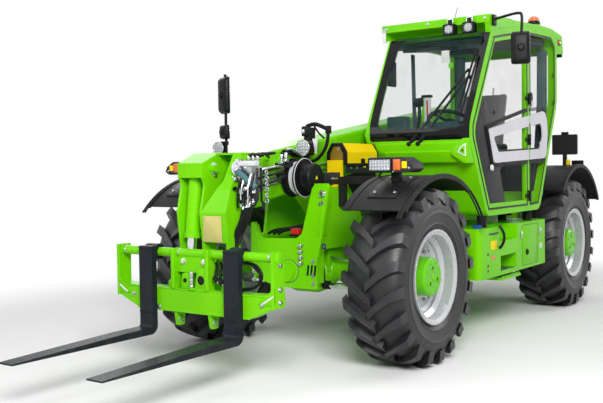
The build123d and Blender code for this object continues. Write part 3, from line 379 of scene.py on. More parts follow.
def ease(shape, width, segments=2, edges=None):
    """Rounds the shape's sharp edges."""
    chosen = sharp_edges(shape) if edges is None else edges
    if width and chosen:
        bmesh.ops.bevel(shape, geom=chosen, offset=width, segments=segments, profile=0.5, affect="EDGES",
                        material=-1, clamp_overlap=True)
    return shape


def block(x, y, z, edge=2.0, segments=2):
    """A box from three (low, high) pairs with rounded edges."""
    shape = bmesh.new()
    bmesh.ops.create_cube(shape, size=1)
    lows, highs = zip(*(sorted(pair) for pair in (x, y, z)))
    bmesh.ops.scale(shape, vec=[h - l for l, h in zip(lows, highs)], verts=shape.verts)
    bmesh.ops.translate(shape, vec=[(h + l) / 2 for l, h in zip(lows, highs)], verts=shape.verts)
    return ease(shape, edge, segments)


def prism(outline, plane, low, high, corner=0.0, edge=1.5, steps=4):
    """An outline in the plane "yz", "xz" or "xy" carried from low to high along the third axis."""
    across = {"yz": 0, "xz": 1, "xy": 2}[plane]
    shape = bmesh.new()
    corners = []
    for pair in outline:
        point = list(pair)
        point.insert(across, low)
        corners.append(shape.verts.new(point))
    face = shape.faces.new(corners)
    grown = bmesh.ops.extrude_face_region(shape, geom=[face])["geom"]
    shift = Vector((0, 0, 0))
    shift[across] = high - low
    bmesh.ops.translate(shape, vec=shift, verts=[v for v in grown if isinstance(v, bmesh.types.BMVert)])
    bmesh.ops.recalc_face_normals(shape, faces=shape.faces)
    if corner:
        along = [e for e in shape.edges if abs((e.verts[1].co - e.verts[0].co)[across]) > 0.5 * abs(high - low)]
        ease(shape, corner, steps, along)
    return ease(shape, edge)


def turned_to(start, end):
    """The matrix that stands a shape made up the Z axis at start, pointing to end."""
    start, end = Vector(start), Vector(end)
    spin = Vector((0, 0, 1)).rotation_difference(end - start).to_matrix().to_4x4()
    return Matrix.Translation(start) @ spin


def rod(start, end, radius, sides=20, edge=1.0, tip=None):
    """A round bar between two points; tip is its radius at the end."""
    shape = bmesh.new()
    length = (Vector(end) - Vector(start)).length
    bmesh.ops.create_cone(shape, cap_ends=True, segments=sides, radius1=radius,
                          radius2=radius if tip is None else tip, depth=length)
    bmesh.ops.translate(shape, vec=(0, 0, length / 2), verts=shape.verts)
    rims = [e for e in sharp_edges(shape, 0.9)]
    ease(shape, edge, 2, rims)
    bmesh.ops.transform(shape, matrix=turned_to(start, end), verts=shape.verts)
    return shape


def revolved(outline, start, end, sides=32):
    """A (distance along, radius) outline turned about the line from start towards end, closed at its ends."""
    shape = bmesh.new()
    outline = list(outline)
    if outline[0] != outline[-1]:
        if outline[0][1] and outline[-1][1]:
            outline.append(outline[0])
        elif outline[0][1]:
            outline.insert(0, (outline[0][0], 0))
        elif outline[-1][1]:
            outline.append((outline[-1][0], 0))
    line = [shape.verts.new((radius, 0, along)) for along, radius in outline]
    edges = [shape.edges.new(pair) for pair in zip(line, line[1:])]
    bmesh.ops.spin(shape, geom=line + edges, cent=(0, 0, 0), axis=(0, 0, 1), angle=2 * pi, steps=sides, use_merge=True)
    bmesh.ops.remove_doubles(shape, verts=shape.verts, dist=0.01)
    bmesh.ops.recalc_face_normals(shape, faces=shape.faces)
    bmesh.ops.transform(shape, matrix=turned_to(start, end), verts=shape.verts)
    return shape


def hose(points, radius, sides=4):
    """A round hose or wire through the points, in one smooth curve."""
    curve = bpy.data.curves.new("hose_path", "CURVE")
    curve.dimensions = "3D"
    curve.bevel_depth = radius
    curve.bevel_resolution = sides
    curve.use_fill_caps = True
    line = curve.splines.new("NURBS")
    line.points.add(len(points) - 1)
    for point, place in zip(line.points, points):
        point.co = (*place, 1)
    line.order_u = 3
    line.use_endpoint_u = True
    line.resolution_u = 8
    holder = bpy.data.objects.new("hose_path", curve)
    mesh = bpy.data.meshes.new_from_object(holder)
    shape = bmesh.new()
    shape.from_mesh(mesh)
    bpy.data.objects.remove(holder)
    bpy.data.curves.remove(curve)
    bpy.data.meshes.remove(mesh)
    bmesh.ops.remove_doubles(shape, verts=shape.verts, dist=0.01)
    return shape


def ring(centre, axis, radius, thick, sides=40, round_sides=10):
    """A round ring about an axis."""
    outline = []
    for k in range(round_sides + 1):
        turn = 2 * pi * k / round_sides
        outline.append((thick * sin(turn), radius + thick * cos(turn)))
    return revolved(outline, centre, Vector(centre) + Vector(axis), sides)


def bolt(at, axis, size=9.0):
    """A hexagon head on a washer; size is the thread's radius."""
    at, axis = Vector(at), Vector(axis).normalized()
    head = rod(at + axis * 2, at + axis * (2 + size * 1.1), size * 1.55, 6, 0.8)
    washer = rod(at, at + axis * 2, size * 2.0, 20, 0.4)
    return joined(washer, head)


def joined(*shapes):
    """Several shapes as one."""
    whole = bmesh.new()
    for shape in shapes:
        mesh = bpy.data.meshes.new("part")
        shape.to_mesh(mesh)
        whole.from_mesh(mesh)
        bpy.data.meshes.remove(mesh)
    return whole


def moved(shape, matrix):
    copy = shape.copy()
    bmesh.ops.transform(copy, matrix=matrix, verts=copy.verts)
    return copy


def mirrored(shape, x=0.0):
    """The shape and its twin across a plane at x."""
    twin = moved(shape, Matrix.Translation((2 * x, 0, 0)) @ Matrix.Scale(-1, 4, (1, 0, 0)))
    bmesh.ops.reverse_faces(twin, faces=twin.faces)
    return joined(shape, twin)


class Piece:
    """One visible object, gathered from shapes with their finishes, riding on a body."""

    def __init__(self, name, body, slot):
        self.name, self.body, self.slot = name, body, slot
        self.whole = bmesh.new()
        self.finishes = []

    def add(self, shape, finish):
        if finish not in self.finishes:
            self.finishes.append(finish)
        for face in shape.faces:
            face.material_index = self.finishes.index(finish)
            face.smooth = True
        mesh = bpy.data.meshes.new("part")
        shape.to_mesh(mesh)
        self.whole.from_mesh(mesh)
        bpy.data.meshes.remove(mesh)
        return self

    def done(self, replaced=(), angle=0.6):
        bmesh.ops.dissolve_degenerate(self.whole, dist=0.002, edges=self.whole.edges)
        bmesh.ops.transform(self.whole, matrix=TO_FRAME, verts=self.whole.verts)
        mesh = bpy.data.meshes.new(self.name)
        self.whole.to_mesh(mesh)
        mesh.set_sharp_from_angle(angle=angle)
        for finish in self.finishes:
            mesh.materials.append(finish)
        made = bpy.data.objects.new(self.name, mesh)
        bpy.context.scene.collection.objects.link(made)
        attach(made, self.body)
        if replaced:
            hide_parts(*replaced)
        return made


# Tyres and wheels

LUGS = 20
LUG_REACH = 216


def carcass():
    """The tyre under its lugs, about the X axis, closed round its beads."""
    outside = [(0, 581), (60, 580), (120, 574), (165, 560), (196, 534), (211, 500), (215, 470), (217, 455), (219, 452),
               (219, 444), (216, 440), (214, 412), (205, 384), (204, 378), (207, 374), (206, 366), (198, 358),
               (186, 346), (181, 333), (180, 318), (178, 309)]
    inside = [(150, 309), (148, 330), (178, 400), (170, 480), (120, 545), (0, 562)]
    half = outside + inside
    loop = half + [(-x, r) for x, r in reversed(half[1:-1])] + [half[0]]
    return revolved(loop, (0, 0, 0), (1, 0, 0), 72)


def lug():
    """One lug of the left tyre: a curved bar from the crown to the shoulder, then down the sidewall."""
    shape = bmesh.new()
    bmesh.ops.create_cube(shape, size=2)
    long_edges = [e for e in shape.edges if abs((e.verts[1].co - e.verts[0].co).x) > 1]
    bmesh.ops.subdivide_edges(shape, edges=long_edges, cuts=9, use_grid_fill=True)
    tops = [e for e in sharp_edges(shape) if all(v.co.z > 0 for v in e.verts)]
    for vert in shape.verts:
        place_on_tyre(vert)
    ease(shape, 3.5, 2, tops)
    for vert in shape.verts:
        radius = vert.co.yz.length
        if radius > TYRE_RADIUS - 0.6:
            vert.co.yz = vert.co.yz * ((TYRE_RADIUS - 0.6) / radius)
    bmesh.ops.recalc_face_normals(shape, faces=shape.faces)
    return shape


def place_on_tyre(vert):
    """Bends a bar that runs along X from -1 to 1 onto the crown; its z is 1 at the worn face."""
    share = (vert.co.x + 1) / 2
    top = vert.co.z > 0
    x = -14 + share * (LUG_REACH + 14)
    slope = 0.98 * x - 0.00145 * x * abs(x)
    half_width = 19 + 17 * share ** 1.6 + (0 if top else 8)
    if top:
        radius = TYRE_RADIUS - 1 - 19 * max(0, (x - 60) / 150) ** 2.2 - 9 * max(0, (x - 178) / 38)
        x = min(x, LUG_REACH - 4)
    else:
        radius = 572 - 60 * max(0, (x - 100) / 116) ** 2.6
        x = x + 4 * share
    turn = (slope + vert.co.y * half_width * (1 + 0.25 * (1 - share))) / 600
    vert.co = (x, -radius * cos(turn), radius * sin(turn))


def tread():
    one_side = lug()
    pitch = 2 * pi / LUGS
    bmesh.ops.spin(one_side, geom=one_side.faces[:] + one_side.edges[:] + one_side.verts[:], cent=(0, 0, 0),
                   axis=(1, 0, 0), angle=-2 * pi + pitch, steps=LUGS - 1, use_duplicate=True)
    other = moved(one_side, Matrix.Rotation(-pitch / 2, 4, "X") @ Matrix.Scale(-1, 4, (1, 0, 0)))
    bmesh.ops.reverse_faces(other, faces=other.faces)
    return joined(one_side, other)


def wheel_matrix(side, axle_y):
    flip = Matrix.Identity(4) if side == "left" else Matrix.Scale(-1, 4, (1, 0, 0))
    return Matrix.Translation((0, axle_y, WHEEL_Z)) @ flip @ Matrix.Translation((WHEEL_X, 0, 0))


def hub_trim():
    """Nuts round the disc, and plugs and bolts on the hub's face, about the X axis; the plugs' holes are black discs of
    painted shade.
    """
    nuts = []
    for k in range(10):
        angle = 2 * pi * k / 10
        y, z = 180 * cos(angle), 180 * sin(angle)
        nuts.append(rod((67, y, z), (85, y, z), 17, 6, 1))
        nuts.append(rod((85, y, z), (94, y, z), 9, 12, 1))
    plugs = []
    hole_shade_discs = []
    for k in range(3):
        angle = radians(100 + 120 * k)
        y, z = 64 * cos(angle), 64 * sin(angle)
        plugs.append(revolved([(0, 20), (3.5, 20), (4.5, 18.5), (4.5, 14), (0.5, 13)], (172, y, z), (173, y, z), 24))
        # A thin black disc in each plug: painted shade for the hole.
        hole_shade_discs.append(rod((172, y, z), (173, y, z), 13.5, 18, 0.2))
    for k in range(8):
        angle = 2 * pi * (k + 0.5) / 8
        plugs.append(bolt((172, 104 * cos(angle), 104 * sin(angle)), (1, 0, 0), 4.5))
    plugs.append(revolved([(0, 24), (6, 22), (8, 0)], (172, 0, 0), (173, 0, 0), 24))
    return joined(*nuts), joined(*plugs), joined(*hole_shade_discs)


def valve():
    stem = hose([(40, 0, 246), (62, 0, 250), (84, 0, 244), (104, 0, 238)], 4.5)
    return joined(stem, rod((104, 0, 238), (116, 0, 235), 6, 12))


def make_wheels():
    rubber, bars = carcass(), tread()
    nuts, plugs, hole_shade_discs = hub_trim()
    stem = valve()
    for place, axle_y in (("front", 0), ("rear", REAR_AXLE_Y)):
        for side in ("left", "right"):
            matrix = wheel_matrix(side, axle_y)
            body = f"{place}_{side}_wheel_body"
            shapes = []
            for shape in (rubber, bars, nuts, plugs, hole_shade_discs, stem):
                placed = moved(shape, matrix)
                if side == "right":
                    bmesh.ops.reverse_faces(placed, faces=placed.faces)
                shapes.append(placed)
            tyre = Piece(f"{place}_{side}_tread", body, "tyre_rubber")
            # The lugs take the paler rubber, which is painted light.
            tyre.add(shapes[0], TYRE).add(shapes[1], LUG_PAINTED_LIGHT)
            tyre.done([f"{place}_{side}_tyre"])
            trim = Piece(f"{place}_{side}_wheel_trim", body, "silver_paint")
            # The fifth shape, in black, is painted shade in the hub's plug holes.
            trim.add(shapes[2], STEEL).add(shapes[3], LIME).add(shapes[4], BLACK).add(shapes[5], STEEL).done()


# The cab: screen trim, wipers, lining, controls and seat

SCREEN_LEAN = (0.496, 0.868)


def screen_point(x, up, out=0.0):
    """A point on the windscreen's outside: up is the distance in mm along it from (y 649, z 1765)."""
    dy, dz = SCREEN_LEAN
    return (x, 649 + up * dy - out * dz, 1765 + up * dz + out * dy)


def wiper(base_x, tip_x, tip_up, lift):
    """One wiper: pivot cap, a broad foot, a slim arm and a long blade, a little off the glass."""
    base = Vector((base_x, 606, 1552))
    tip = Vector(screen_point(tip_x, tip_up, lift))
    neck = base.lerp(tip, 0.30)
    blade_foot = screen_point(tip_x - 8, tip_up - 330, 13)
    blade_head = screen_point(tip_x + 22, tip_up + 210, 13)
    arm = joined(rod((base_x, 640, 1545), (base_x, 596, 1562), 17, 16, 3), rod(base, neck, 17, 10, 2, 12),
                 rod(neck, tip, 11, 10, 1.5, 8))
    blade = joined(rod(blade_foot, blade_head, 8.5, 8, 1.5), rod(tip, screen_point(tip_x, tip_up, 8), 13, 12, 2))
    return joined(arm, blade)


def make_wipers():
    piece = Piece("wipers", "frame", "black_plastic")
    piece.add(wiper(545, 946, 395, 30), BLACK)
    piece.add(wiper(622, 972, 330, 42), BLACK)
    for x in (545, 622):
        piece.add(revolved([(0, 15), (8, 13), (12, 6), (13, 0)], (x, 597, 1562), (x, 590, 1565), 20), RUBBER)
    piece.done()


def make_cowl():
    """The moulded panel under the windscreen: a stepped band, a dished corner and the air slots. White paint round the
    dished corner's hollow is a painted highlight, and a black disc in it is painted shade for a hole.
    """
    piece = Piece("front_cowl", "frame", "lime_paint")
    band = [(618, 1575), (600, 1562), (612, 1496), (650, 1440), (700, 1446), (660, 1510), (640, 1575)]
    piece.add(prism(band, "yz", 250, 1000, 6, 3), LIME)
    lip = [(612, 1506), (596, 1494), (640, 1412), (668, 1420)]
    piece.add(prism(lip, "yz", 330, 930, 4, 3), LIME)
    for low, high in ((1440, 1492), (1404, 1428)):
        piece.add(prism([(664, low), (656, low + 8), (640, high), (650, high + 6)], "yz", 300, 900, 3, 2), LIME)
    wedge = [(1046, 1592), (1046, 1404), (1010, 1404), (905, 1470), (905, 1500), (1000, 1592)]
    piece.add(prism(wedge, "xz", 588, 690, 6, 5), LIME)
    # White paint round the hollow in the corner: a painted highlight.
    socket = [(1028, 1556), (1028, 1452), (958, 1486), (985, 1530)]
    piece.add(prism(socket, "xz", 583, 590, 8, 2), WHITE)
    hollow = [(1020, 1540), (1020, 1468), (974, 1492), (990, 1520)]
    piece.add(prism(hollow, "xz", 581, 590, 6, 1), LIME)
    # A black disc: painted shade for the hole in the corner.
    piece.add(rod((1004, 582, 1500), (1004, 578, 1500), 8, 16, 1), BLACK)
    piece.done()


def make_screen_parts():
    """Things that are fixed behind the windscreen and on its upper edge."""
    piece = Piece("screen_fittings", "frame", "grey_plastic")
    piece.add(block((632, 700), (1012, 1016), (2215, 2312), 1), WHITE)
    piece.add(revolved([(0, 0), (0, 24), (3, 24), (3, 0)], (738, 965, 2184), (738, 964, 2184), 24), LIME)
    piece.add(block((128, 160), (1010, 1130), (2060, 2270), 10, 3), BLACK)
    for k in range(9):
        z = 2072 + k * 22
        piece.add(block((124, 164), (1002, 1012), (z, z + 12), 3), DARK_TRIM)
    piece.add(rod((140, 1120, 2270), (150, 1180, 2420), 8, 10), BLACK)
    piece.done()


def make_lining():
    """Roof lining, pillars, floor mat, side console and the shelf behind the seat."""
    piece = Piece("cab_lining", "frame", "grey_plastic")
    piece.add(prism([(1110, 2400), (1250, 2418), (1740, 2490), (2420, 2520), (2420, 2460), (1740, 2440), (1250, 2380)],
                    "yz", 110, 990, 12, 4), CEILING)
    for k in range(7):
        y = 1180 + k * 62
        piece.add(block((190, 520), (y, y + 34), (2352 + 0.11 * (y - 1180), 2376 + 0.11 * (y - 1180)), 4), DARK_TRIM)
    piece.add(prism([(2390, 1100), (2440, 1500), (2505, 1950), (2505, 2440), (2440, 2440), (2430, 1950), (2350, 1500),
                     (2310, 1100)], "yz", 910, 985, 14, 6), INNER)
    piece.add(prism([(2390, 1100), (2440, 1500), (2505, 1950), (2505, 2440), (2440, 2440), (2430, 1950), (2350, 1500),
                     (2310, 1100)], "yz", 108, 175, 14, 6), INNER)
    piece.add(block((110, 990), (940, 2060), (1036, 1046), 4), RUBBER)
    for k in range(22):
        y = 1000 + k * 46
        piece.add(block((130, 970), (y, y + 12), (1045, 1050), 2), RUBBER)
    side = [(1150, 1040), (2260, 1040), (2380, 1500), (2050, 1560), (1560, 1470), (1240, 1440), (1130, 1250)]
    piece.add(prism(side, "yz", 102, 250, 40, 10), INNER)
    piece.add(prism([(2130, 1040), (2260, 1040), (2400, 1520), (2160, 1520)], "yz", 255, 985, 20, 8), DARK_TRIM)
    piece.add(block((430, 700), (1560, 1690), (2352, 2392), 18, 4), BLACK)
    for k in range(5):
        piece.add(block((445, 685), (1566 + k * 24, 1576 + k * 24), (2346, 2354), 2), DARK_TRIM)
    piece.add(prism([(1540, 1600), (1610, 1600), (1580, 2380), (1510, 2380)], "yz", 96, 100, 10, 1), INNER)
    piece.done()


def make_controls():
    piece = Piece("cab_controls", "frame", "grey_plastic")
    piece.add(block((150, 330), (960, 1050), (1640, 1800), 14, 4), GREY)
    piece.add(block((164, 316), (1049, 1056), (1656, 1786), 5), BLACK)
    piece.add(hose([(240, 1010, 1650), (250, 1030, 1560), (270, 1080, 1440), (280, 1120, 1380)], 16), BLACK)
    dash = [(905, 1440), (1010, 1400), (1180, 1440), (1330, 1590), (1300, 1650), (1120, 1700), (950, 1640), (890, 1530)]
    piece.add(prism(dash, "yz", 372, 748, 34, 10), GREY)
    piece.add(prism([(1128, 1702), (1296, 1652), (1270, 1720), (1150, 1756)], "yz", 430, 690, 22, 8), GREY)
    for k in range(3):
        x = 480 + k * 80
        dial = revolved([(0, 32), (5, 31), (6, 27), (2, 26), (2, 0)], (x, 1236, 1712), (x, 1262, 1780), 28)
        piece.add(dial, BLACK)
    piece.add(prism([(905, 1055), (1030, 1100), (1060, 1230), (930, 1440), (880, 1440)], "yz", 120, 985, 30, 10), INNER)
    for k in range(6):
        piece.add(block((600 + k * 18, 610 + k * 18), (1330, 1338), (1600, 1622), 2), WHITE if k == 2 else BLACK)
    for x in (430, 560, 680):
        piece.add(block((x - 38, x + 38), (1080, 1096), (1110, 1200), 8, 3), RUBBER)
        piece.add(rod((x, 1082, 1190), (x, 1010, 1300), 9, 12), BLACK)
    grip = revolved([(-8, 22), (20, 27), (70, 24), (110, 30), (140, 25), (152, 0)], (262, 1420, 1540), (262, 1400, 1640), 24)
    piece.add(grip, BLACK)
    piece.add(revolved([(0, 46), (18, 40), (40, 26), (56, 18)], (262, 1425, 1500), (262, 1420, 1560), 24), RUBBER)
    piece.add(block((218, 290), (1480, 1520), (1770, 1990), 14, 4), WHITE)
    piece.add(block((216, 240), (1478, 1482), (1780, 1980), 1.2), LIME)
    piece.add(block((262, 276), (1476, 1482), (1780, 1960), 2), RED)
    piece.add(block((210, 300), (1474, 1530), (1986, 2010), 8, 3), BLACK)
    piece.add(hose([(160, 1500, 1500), (158, 1500, 1700), (190, 1500, 1850), (176, 1500, 1960)], 15), BLACK)
    piece.add(rod((150, 1480, 1945), (232, 1480, 1950), 40, 24, 8), BLACK)
    piece.add(rod((300, 1960, 1560), (300, 1960, 1700), 14, 12), BLACK)
    piece.done()


def seat_frame():
    """Suspension bellows, side rails and armrests under and beside the cushions."""
    piece = Piece("seat_frame", "frame", "grey_plastic")
    for k in range(5):
        z = 1076 + k * 42
        piece.add(block((352, 758), (1500 - k * 6, 1862 + k * 4), (z, z + 30), 13, 3), RUBBER)
    piece.add(block((296, 322), (1430, 1870), (1262, 1302), 8, 3), BLACK)
    piece.add(block((788, 814), (1430, 1870), (1262, 1302), 8, 3), BLACK)
    for x in (262, 806):
        piece.add(block((x, x + 56), (1500, 1840), (1520, 1572), 20, 4), BLACK)
        piece.add(prism([(1820, 1300), (1870, 1300), (1880, 1560), (1830, 1560)], "yz", x + 14, x + 40, 10, 4), BLACK)
    for x in (470, 640):
        piece.add(rod((x, 2050, 1990), (x, 2070, 2085), 8, 12), STEEL)
    piece.add(ring((560, 1868, 1330), (1, 0, 0), 32, 9), BLACK)
    piece.done()


def pressed(shape, name, cap):
    """Blows a cushion shape up with cloth pressure, each point held to cap metres of travel."""
    mesh = bpy.data.meshes.new(name)
    bmesh.ops.transform(shape, matrix=TO_FRAME, verts=shape.verts)
    shape.to_mesh(mesh)
    made = bpy.data.objects.new(name, mesh)
    bpy.context.scene.collection.objects.link(made)
    bpy.context.view_layer.objects.active = made
    voxels = made.modifiers.new("voxels", "REMESH")
    voxels.mode = "VOXEL"
    voxels.voxel_size = 0.0075
    depsgraph = bpy.context.evaluated_depsgraph_get()
    made.data = bpy.data.meshes.new_from_object(made.evaluated_get(depsgraph))
    made.modifiers.clear()
    start = [vert.co.copy() for vert in made.data.vertices]
    cloth = made.modifiers.new("stuffing", "CLOTH")
    cloth.settings.use_pressure = True
    cloth.settings.uniform_pressure_force = 4
    cloth.settings.effector_weights.gravity = 0
    for step in range(1, 21):
        bpy.context.scene.frame_set(step)
    depsgraph = bpy.context.evaluated_depsgraph_get()
    swollen = bpy.data.meshes.new_from_object(made.evaluated_get(depsgraph))
    made.modifiers.clear()
    bpy.context.scene.frame_set(1)
    for vert, old in zip(swollen.vertices, start):
        travel = vert.co - old
        if travel.length > cap:
            vert.co = old + travel * (cap / travel.length)
    made.data = swollen
    made.data.name = name
    return made


def channel(made, inside, depth):
    """Sews a channel: points that inside accepts move inward along their normals."""
    for vert in made.data.vertices:
        pull = inside(vert.co * 1000 + ORIGIN)
        if pull > 0:
            vert.co -= vert.normal * (depth * pull)


def groove(value, line, width):
    return max(0.0, 1 - abs(value - line) / width)


def make_seat():
    cushion = pressed(block((322, 788), (1412, 1838), (1322, 1412), 34, 4), "seat_cushion_pad", 0.014)
    seat_seams = lambda at: max(groove(at.x, 400, 9), groove(at.x, 710, 9), groove(at.y, 1530, 9)) if at.z > 1380 else 0
    channel(cushion, seat_seams, 0.011)
    rest = [(1876, 1330), (1946, 1322), (2100, 2030), (2040, 2034), (1876, 1430)]
    back = pressed(prism(rest, "yz", 334, 776, 26, 22), "seat_back_pad", 0.012)
    back_seams = lambda at: max(groove(at.x, 415, 9), groove(at.x, 695, 9), groove(at.z, 1560, 9), groove(at.z, 1850, 9))
    channel(back, back_seams, 0.010)
    for made, node in ((cushion, "seat_cushion"), (back, "seat_backrest")):
        smooth = made.modifiers.new("soften", "SUBSURF")
        smooth.levels = smooth.render_levels = 1
        made.data.materials.clear()
        made.data.materials.append(CLOTH)
        for face in made.data.polygons:
            face.use_smooth = True
        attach(made, "frame")
        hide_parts(node)


# The door and the glazed side

def band(outline_out, outline_in, low, high, edge=1.5):
    """A flat ring in the (y, z) plane between two outlines with as many points."""
    shape = bmesh.new()
    loops = []
    for outline in (outline_out, outline_in):
        corners = [shape.verts.new((low, y, z)) for y, z in outline]
        loops.append([shape.edges.new((a, b)) for a, b in zip(corners, corners[1:] + corners[:1])])
    bmesh.ops.bridge_loops(shape, edges=loops[0] + loops[1])
    grown = bmesh.ops.extrude_face_region(shape, geom=shape.faces[:])["geom"]
    bmesh.ops.translate(shape, vec=(high - low, 0, 0), verts=[v for v in grown if isinstance(v, bmesh.types.BMVert)])
    bmesh.ops.recalc_face_normals(shape, faces=shape.faces)
    return ease(shape, edge)


def cut(shape, y, side):
    """The part of a shape in front of y for side -1 or behind it for side 1, closed over the cut."""
    part = shape.copy()
    everything = part.verts[:] + part.edges[:] + part.faces[:]
    bmesh.ops.bisect_plane(part, geom=everything, plane_co=(0, y, 0), plane_no=(0, -side, 0), clear_outer=True)
    bmesh.ops.holes_fill(part, edges=[e for e in part.edges if e.is_boundary], sides=0)
    bmesh.ops.recalc_face_normals(part, faces=part.faces)
    return part


def shrunk(outline, amount):
    """An outline's corners moved inward by amount, which is negative to move them out."""
    result = []
    count = len(outline)
    turn = sum(a[0] * b[1] - b[0] * a[1] for a, b in zip(outline, outline[1:] + outline[:1]))
    side = 1 if turn > 0 else -1
    for k, here in enumerate(outline):
        before, after = Vector(outline[k - 1]), Vector(outline[(k + 1) % count])
        here = Vector(here)
        first = (here - before).normalized()
        second = (after - here).normalized()
        normal = (Vector((-first.y, first.x)) + Vector((-second.y, second.x))).normalized() * side
        lean = max(0.35, normal.dot(Vector((-first.y, first.x)) * side))
        result.append(tuple(here + normal * (amount / lean)))
    return result


DOOR_EDGE = [(958, 1040), (668, 1600), (664, 1690), (1090, 2395), (1265, 2430), (1700, 2500), (1806, 2506), (1806, 1040)]
QUARTER_EDGE = [(1872, 1040), (1872, 2512), (2415, 2528), (2518, 2460), (2520, 1958), (2080, 1052)]
RING_OUT = [(945, 1667), (1300, 1742), (1780, 1834), (2200, 1868), (2262, 1820), (2285, 1660), (2262, 1500), (2200, 1440),
            (1700, 1424), (1050, 1403)]
RING_IN = [(1033, 1607), (1300, 1666), (1780, 1732), (2090, 1750), (2136, 1720), (2150, 1640), (2122, 1560), (2060, 1520),
           (1700, 1508), (1133, 1490)]


def ring_lines():
    """Three fine lines round the silver ring and one inside it."""
    lines = [band(shrunk(RING_OUT, -gap - 7), shrunk(RING_OUT, -gap), 1040, depth, 1)
             for gap, depth in ((6, 1060), (16, 1057), (26, 1054))]
    return lines + [band(RING_IN, shrunk(RING_IN, 15), 1040, 1058, 2)]


def make_door():
    piece = Piece("door_details", "door", "black_plastic")
    piece.add(band(shrunk(DOOR_EDGE, -4), shrunk(DOOR_EDGE, 12), 1049, 1052.5, 1), BLACK)
    panel = [(896, 1870), (940, 1880), (1196, 1380), (1330, 1064), (962, 1050), (700, 1560)]
    piece.add(prism(panel, "yz", 1036, 1042, 14, 2), DARK_TRIM)
    for line in ring_lines():
        piece.add(cut(line, 1804, -1), BLACK)
    piece.add(prism([(1000, 1392), (1018, 1372), (1010, 1340), (985, 1352), (984, 1380)], "yz", 1052, 1072, 4, 3), WHITE)
    piece.add(prism([(1050, 1500), (1128, 1515), (1128, 1574), (1066, 1556)], "yz", 1044, 1050, 6, 2), BLACK)
    for y, z in ((1086, 1800), (1148, 1680)):
        piece.add(revolved([(0, 20), (5, 19), (7, 12), (3, 9), (3, 0)], (1046, y, z), (1047, y, z), 24), BLACK)
    handle = hose([(1004, 1110, 1640), (976, 1130, 1600), (974, 1210, 1500), (976, 1300, 1470), (1004, 1330, 1466)], 12)
    piece.add(handle, BLACK)
    piece.done()


def make_quarter():
    piece = Piece("quarter_details", "frame", "black_plastic")
    piece.add(band(shrunk(QUARTER_EDGE, -4), shrunk(QUARTER_EDGE, 14), 1049, 1052.5, 1), BLACK)
    for line in ring_lines():
        piece.add(cut(line, 1852, 1), BLACK)
    latch = [(1896, 1900), (1896, 1990), (1872, 2010), (1850, 1990), (1850, 1900)]
    piece.add(prism(latch, "yz", 1050.5, 1070, 6, 4), DARK_TRIM)
    piece.add(prism([(1850, 1880), (1880, 1890), (1885, 1930), (1850, 1935)], "yz", 1062, 1078, 6, 3), STEEL)
    for y, z in ((2478, 2210), (2482, 1960)):
        piece.add(revolved([(0, 16), (5, 15), (7, 8), (7, 0)], (1050, y, z), (1051, y, z), 20), BLACK)
    piece.add(block((1000, 1004), (1905, 1960), (1560, 2140), 2), WHITE)
    piece.add(block((1003.5, 1006), (1930, 1952), (2010, 2110), 2), RED)
    piece.done()


# Roof: guard fittings, lamps, beacon, mirrors and antenna

def square_lamp(x):
    """The bezel and glass of one work lamp, and the tilting bracket over it."""
    bezel = band_xz([(x - 47, 2422), (x + 47, 2422), (x + 47, 2506), (x - 47, 2506)], 10, 922, 934, 3)
    glass = block((x - 37, x + 37), (926, 931), (2432, 2496), 2)
    dish = revolved([(0, 0), (0, 33), (3, 32), (6, 22), (7, 0)], (x, 928, 2464), (x, 927, 2464), 28)
    fins = [block((x - 40 + k * 13, x - 35 + k * 13), (985, 1003), (2432, 2496), 1) for k in range(7)]
    bail = joined(block((x - 26, x - 20), (955, 985), (2500, 2548), 2), block((x + 20, x + 26), (955, 985), (2500, 2548), 2),
                  block((x - 26, x + 26), (955, 985), (2542, 2549), 2), bolt((x, 970, 2549), (0, 0, 1), 5))
    return bezel, glass, dish, joined(*fins), bail


def band_xz(outline, width, low, high, edge):
    """A picture-frame ring whose outline is (x, z), from low to high along y."""
    flat = band([(x, z) for x, z in outline], shrunk(outline, width), low, high, edge)
    for vert in flat.verts:
        vert.co = (vert.co.y, vert.co.x, vert.co.z)
    bmesh.ops.reverse_faces(flat, faces=flat.faces)
    return flat


def make_roof():
    piece = Piece("roof_fittings", "frame", "lamp_plastic")
    for x in (735, 900):
        bezel, glass, dish, fins, bail = square_lamp(x)
        piece.add(bezel, BLACK).add(glass, GREY_EDGE).add(dish, LAMP_FACE).add(fins, BLACK).add(bail, CHROME)
    piece.add(block((96, 130), (1000, 1004.5), (2415, 2540), 2), WHITE)
    for x, z in ((140, 2540), (520, 2545), (1010, 2545)):
        piece.add(bolt((x, 1000, z - 10), (0, -1, 0), 6), STEEL)
    for x in (200, 420, 640, 860):
        piece.add(bolt((x, 1520, 2582), (0, 0, 1), 6), STEEL)
    piece.add(block((700, 930), (1500, 1560), (2574, 2592), 6, 3), BLACK)
    for k in range(3):
        seam = [(150 + k * 300, 1500), (162 + k * 300, 1500), (162 + k * 300, 2560), (150 + k * 300, 2560)]
        piece.add(prism(seam, "xy", 2598, 2606, 4, 3), LIME)
    piece.add(block((1040, 1053), (2610, 2690), (2490, 2545), 6, 3), BLACK)
    piece.add(revolved([(0, 17), (6, 16), (9, 10), (9, 0)], (1053, 2640, 2518), (1054, 2640, 2518), 20), AMBER)
    piece.add(revolved([(0, 11), (4, 10), (6, 6), (6, 0)], (1053, 2674, 2518), (1054, 2674, 2518), 20), CHROME)
    piece.add(block((930, 1040), (2735, 2778), (2395, 2435), 6, 3), BLACK)
    piece.add(block((935, 1035), (2776, 2781), (2400, 2430), 2), CLEAR_LENS)
    piece.add(rod((638, 1250, 2560), (638, 1250, 2582), 16, 20, 3), BLACK)
    piece.add(hose([(638, 1250, 2580), (645, 1250, 2615), (655, 1250, 2650), (668, 1250, 2690)], 2.0), BLACK)
    piece.done()


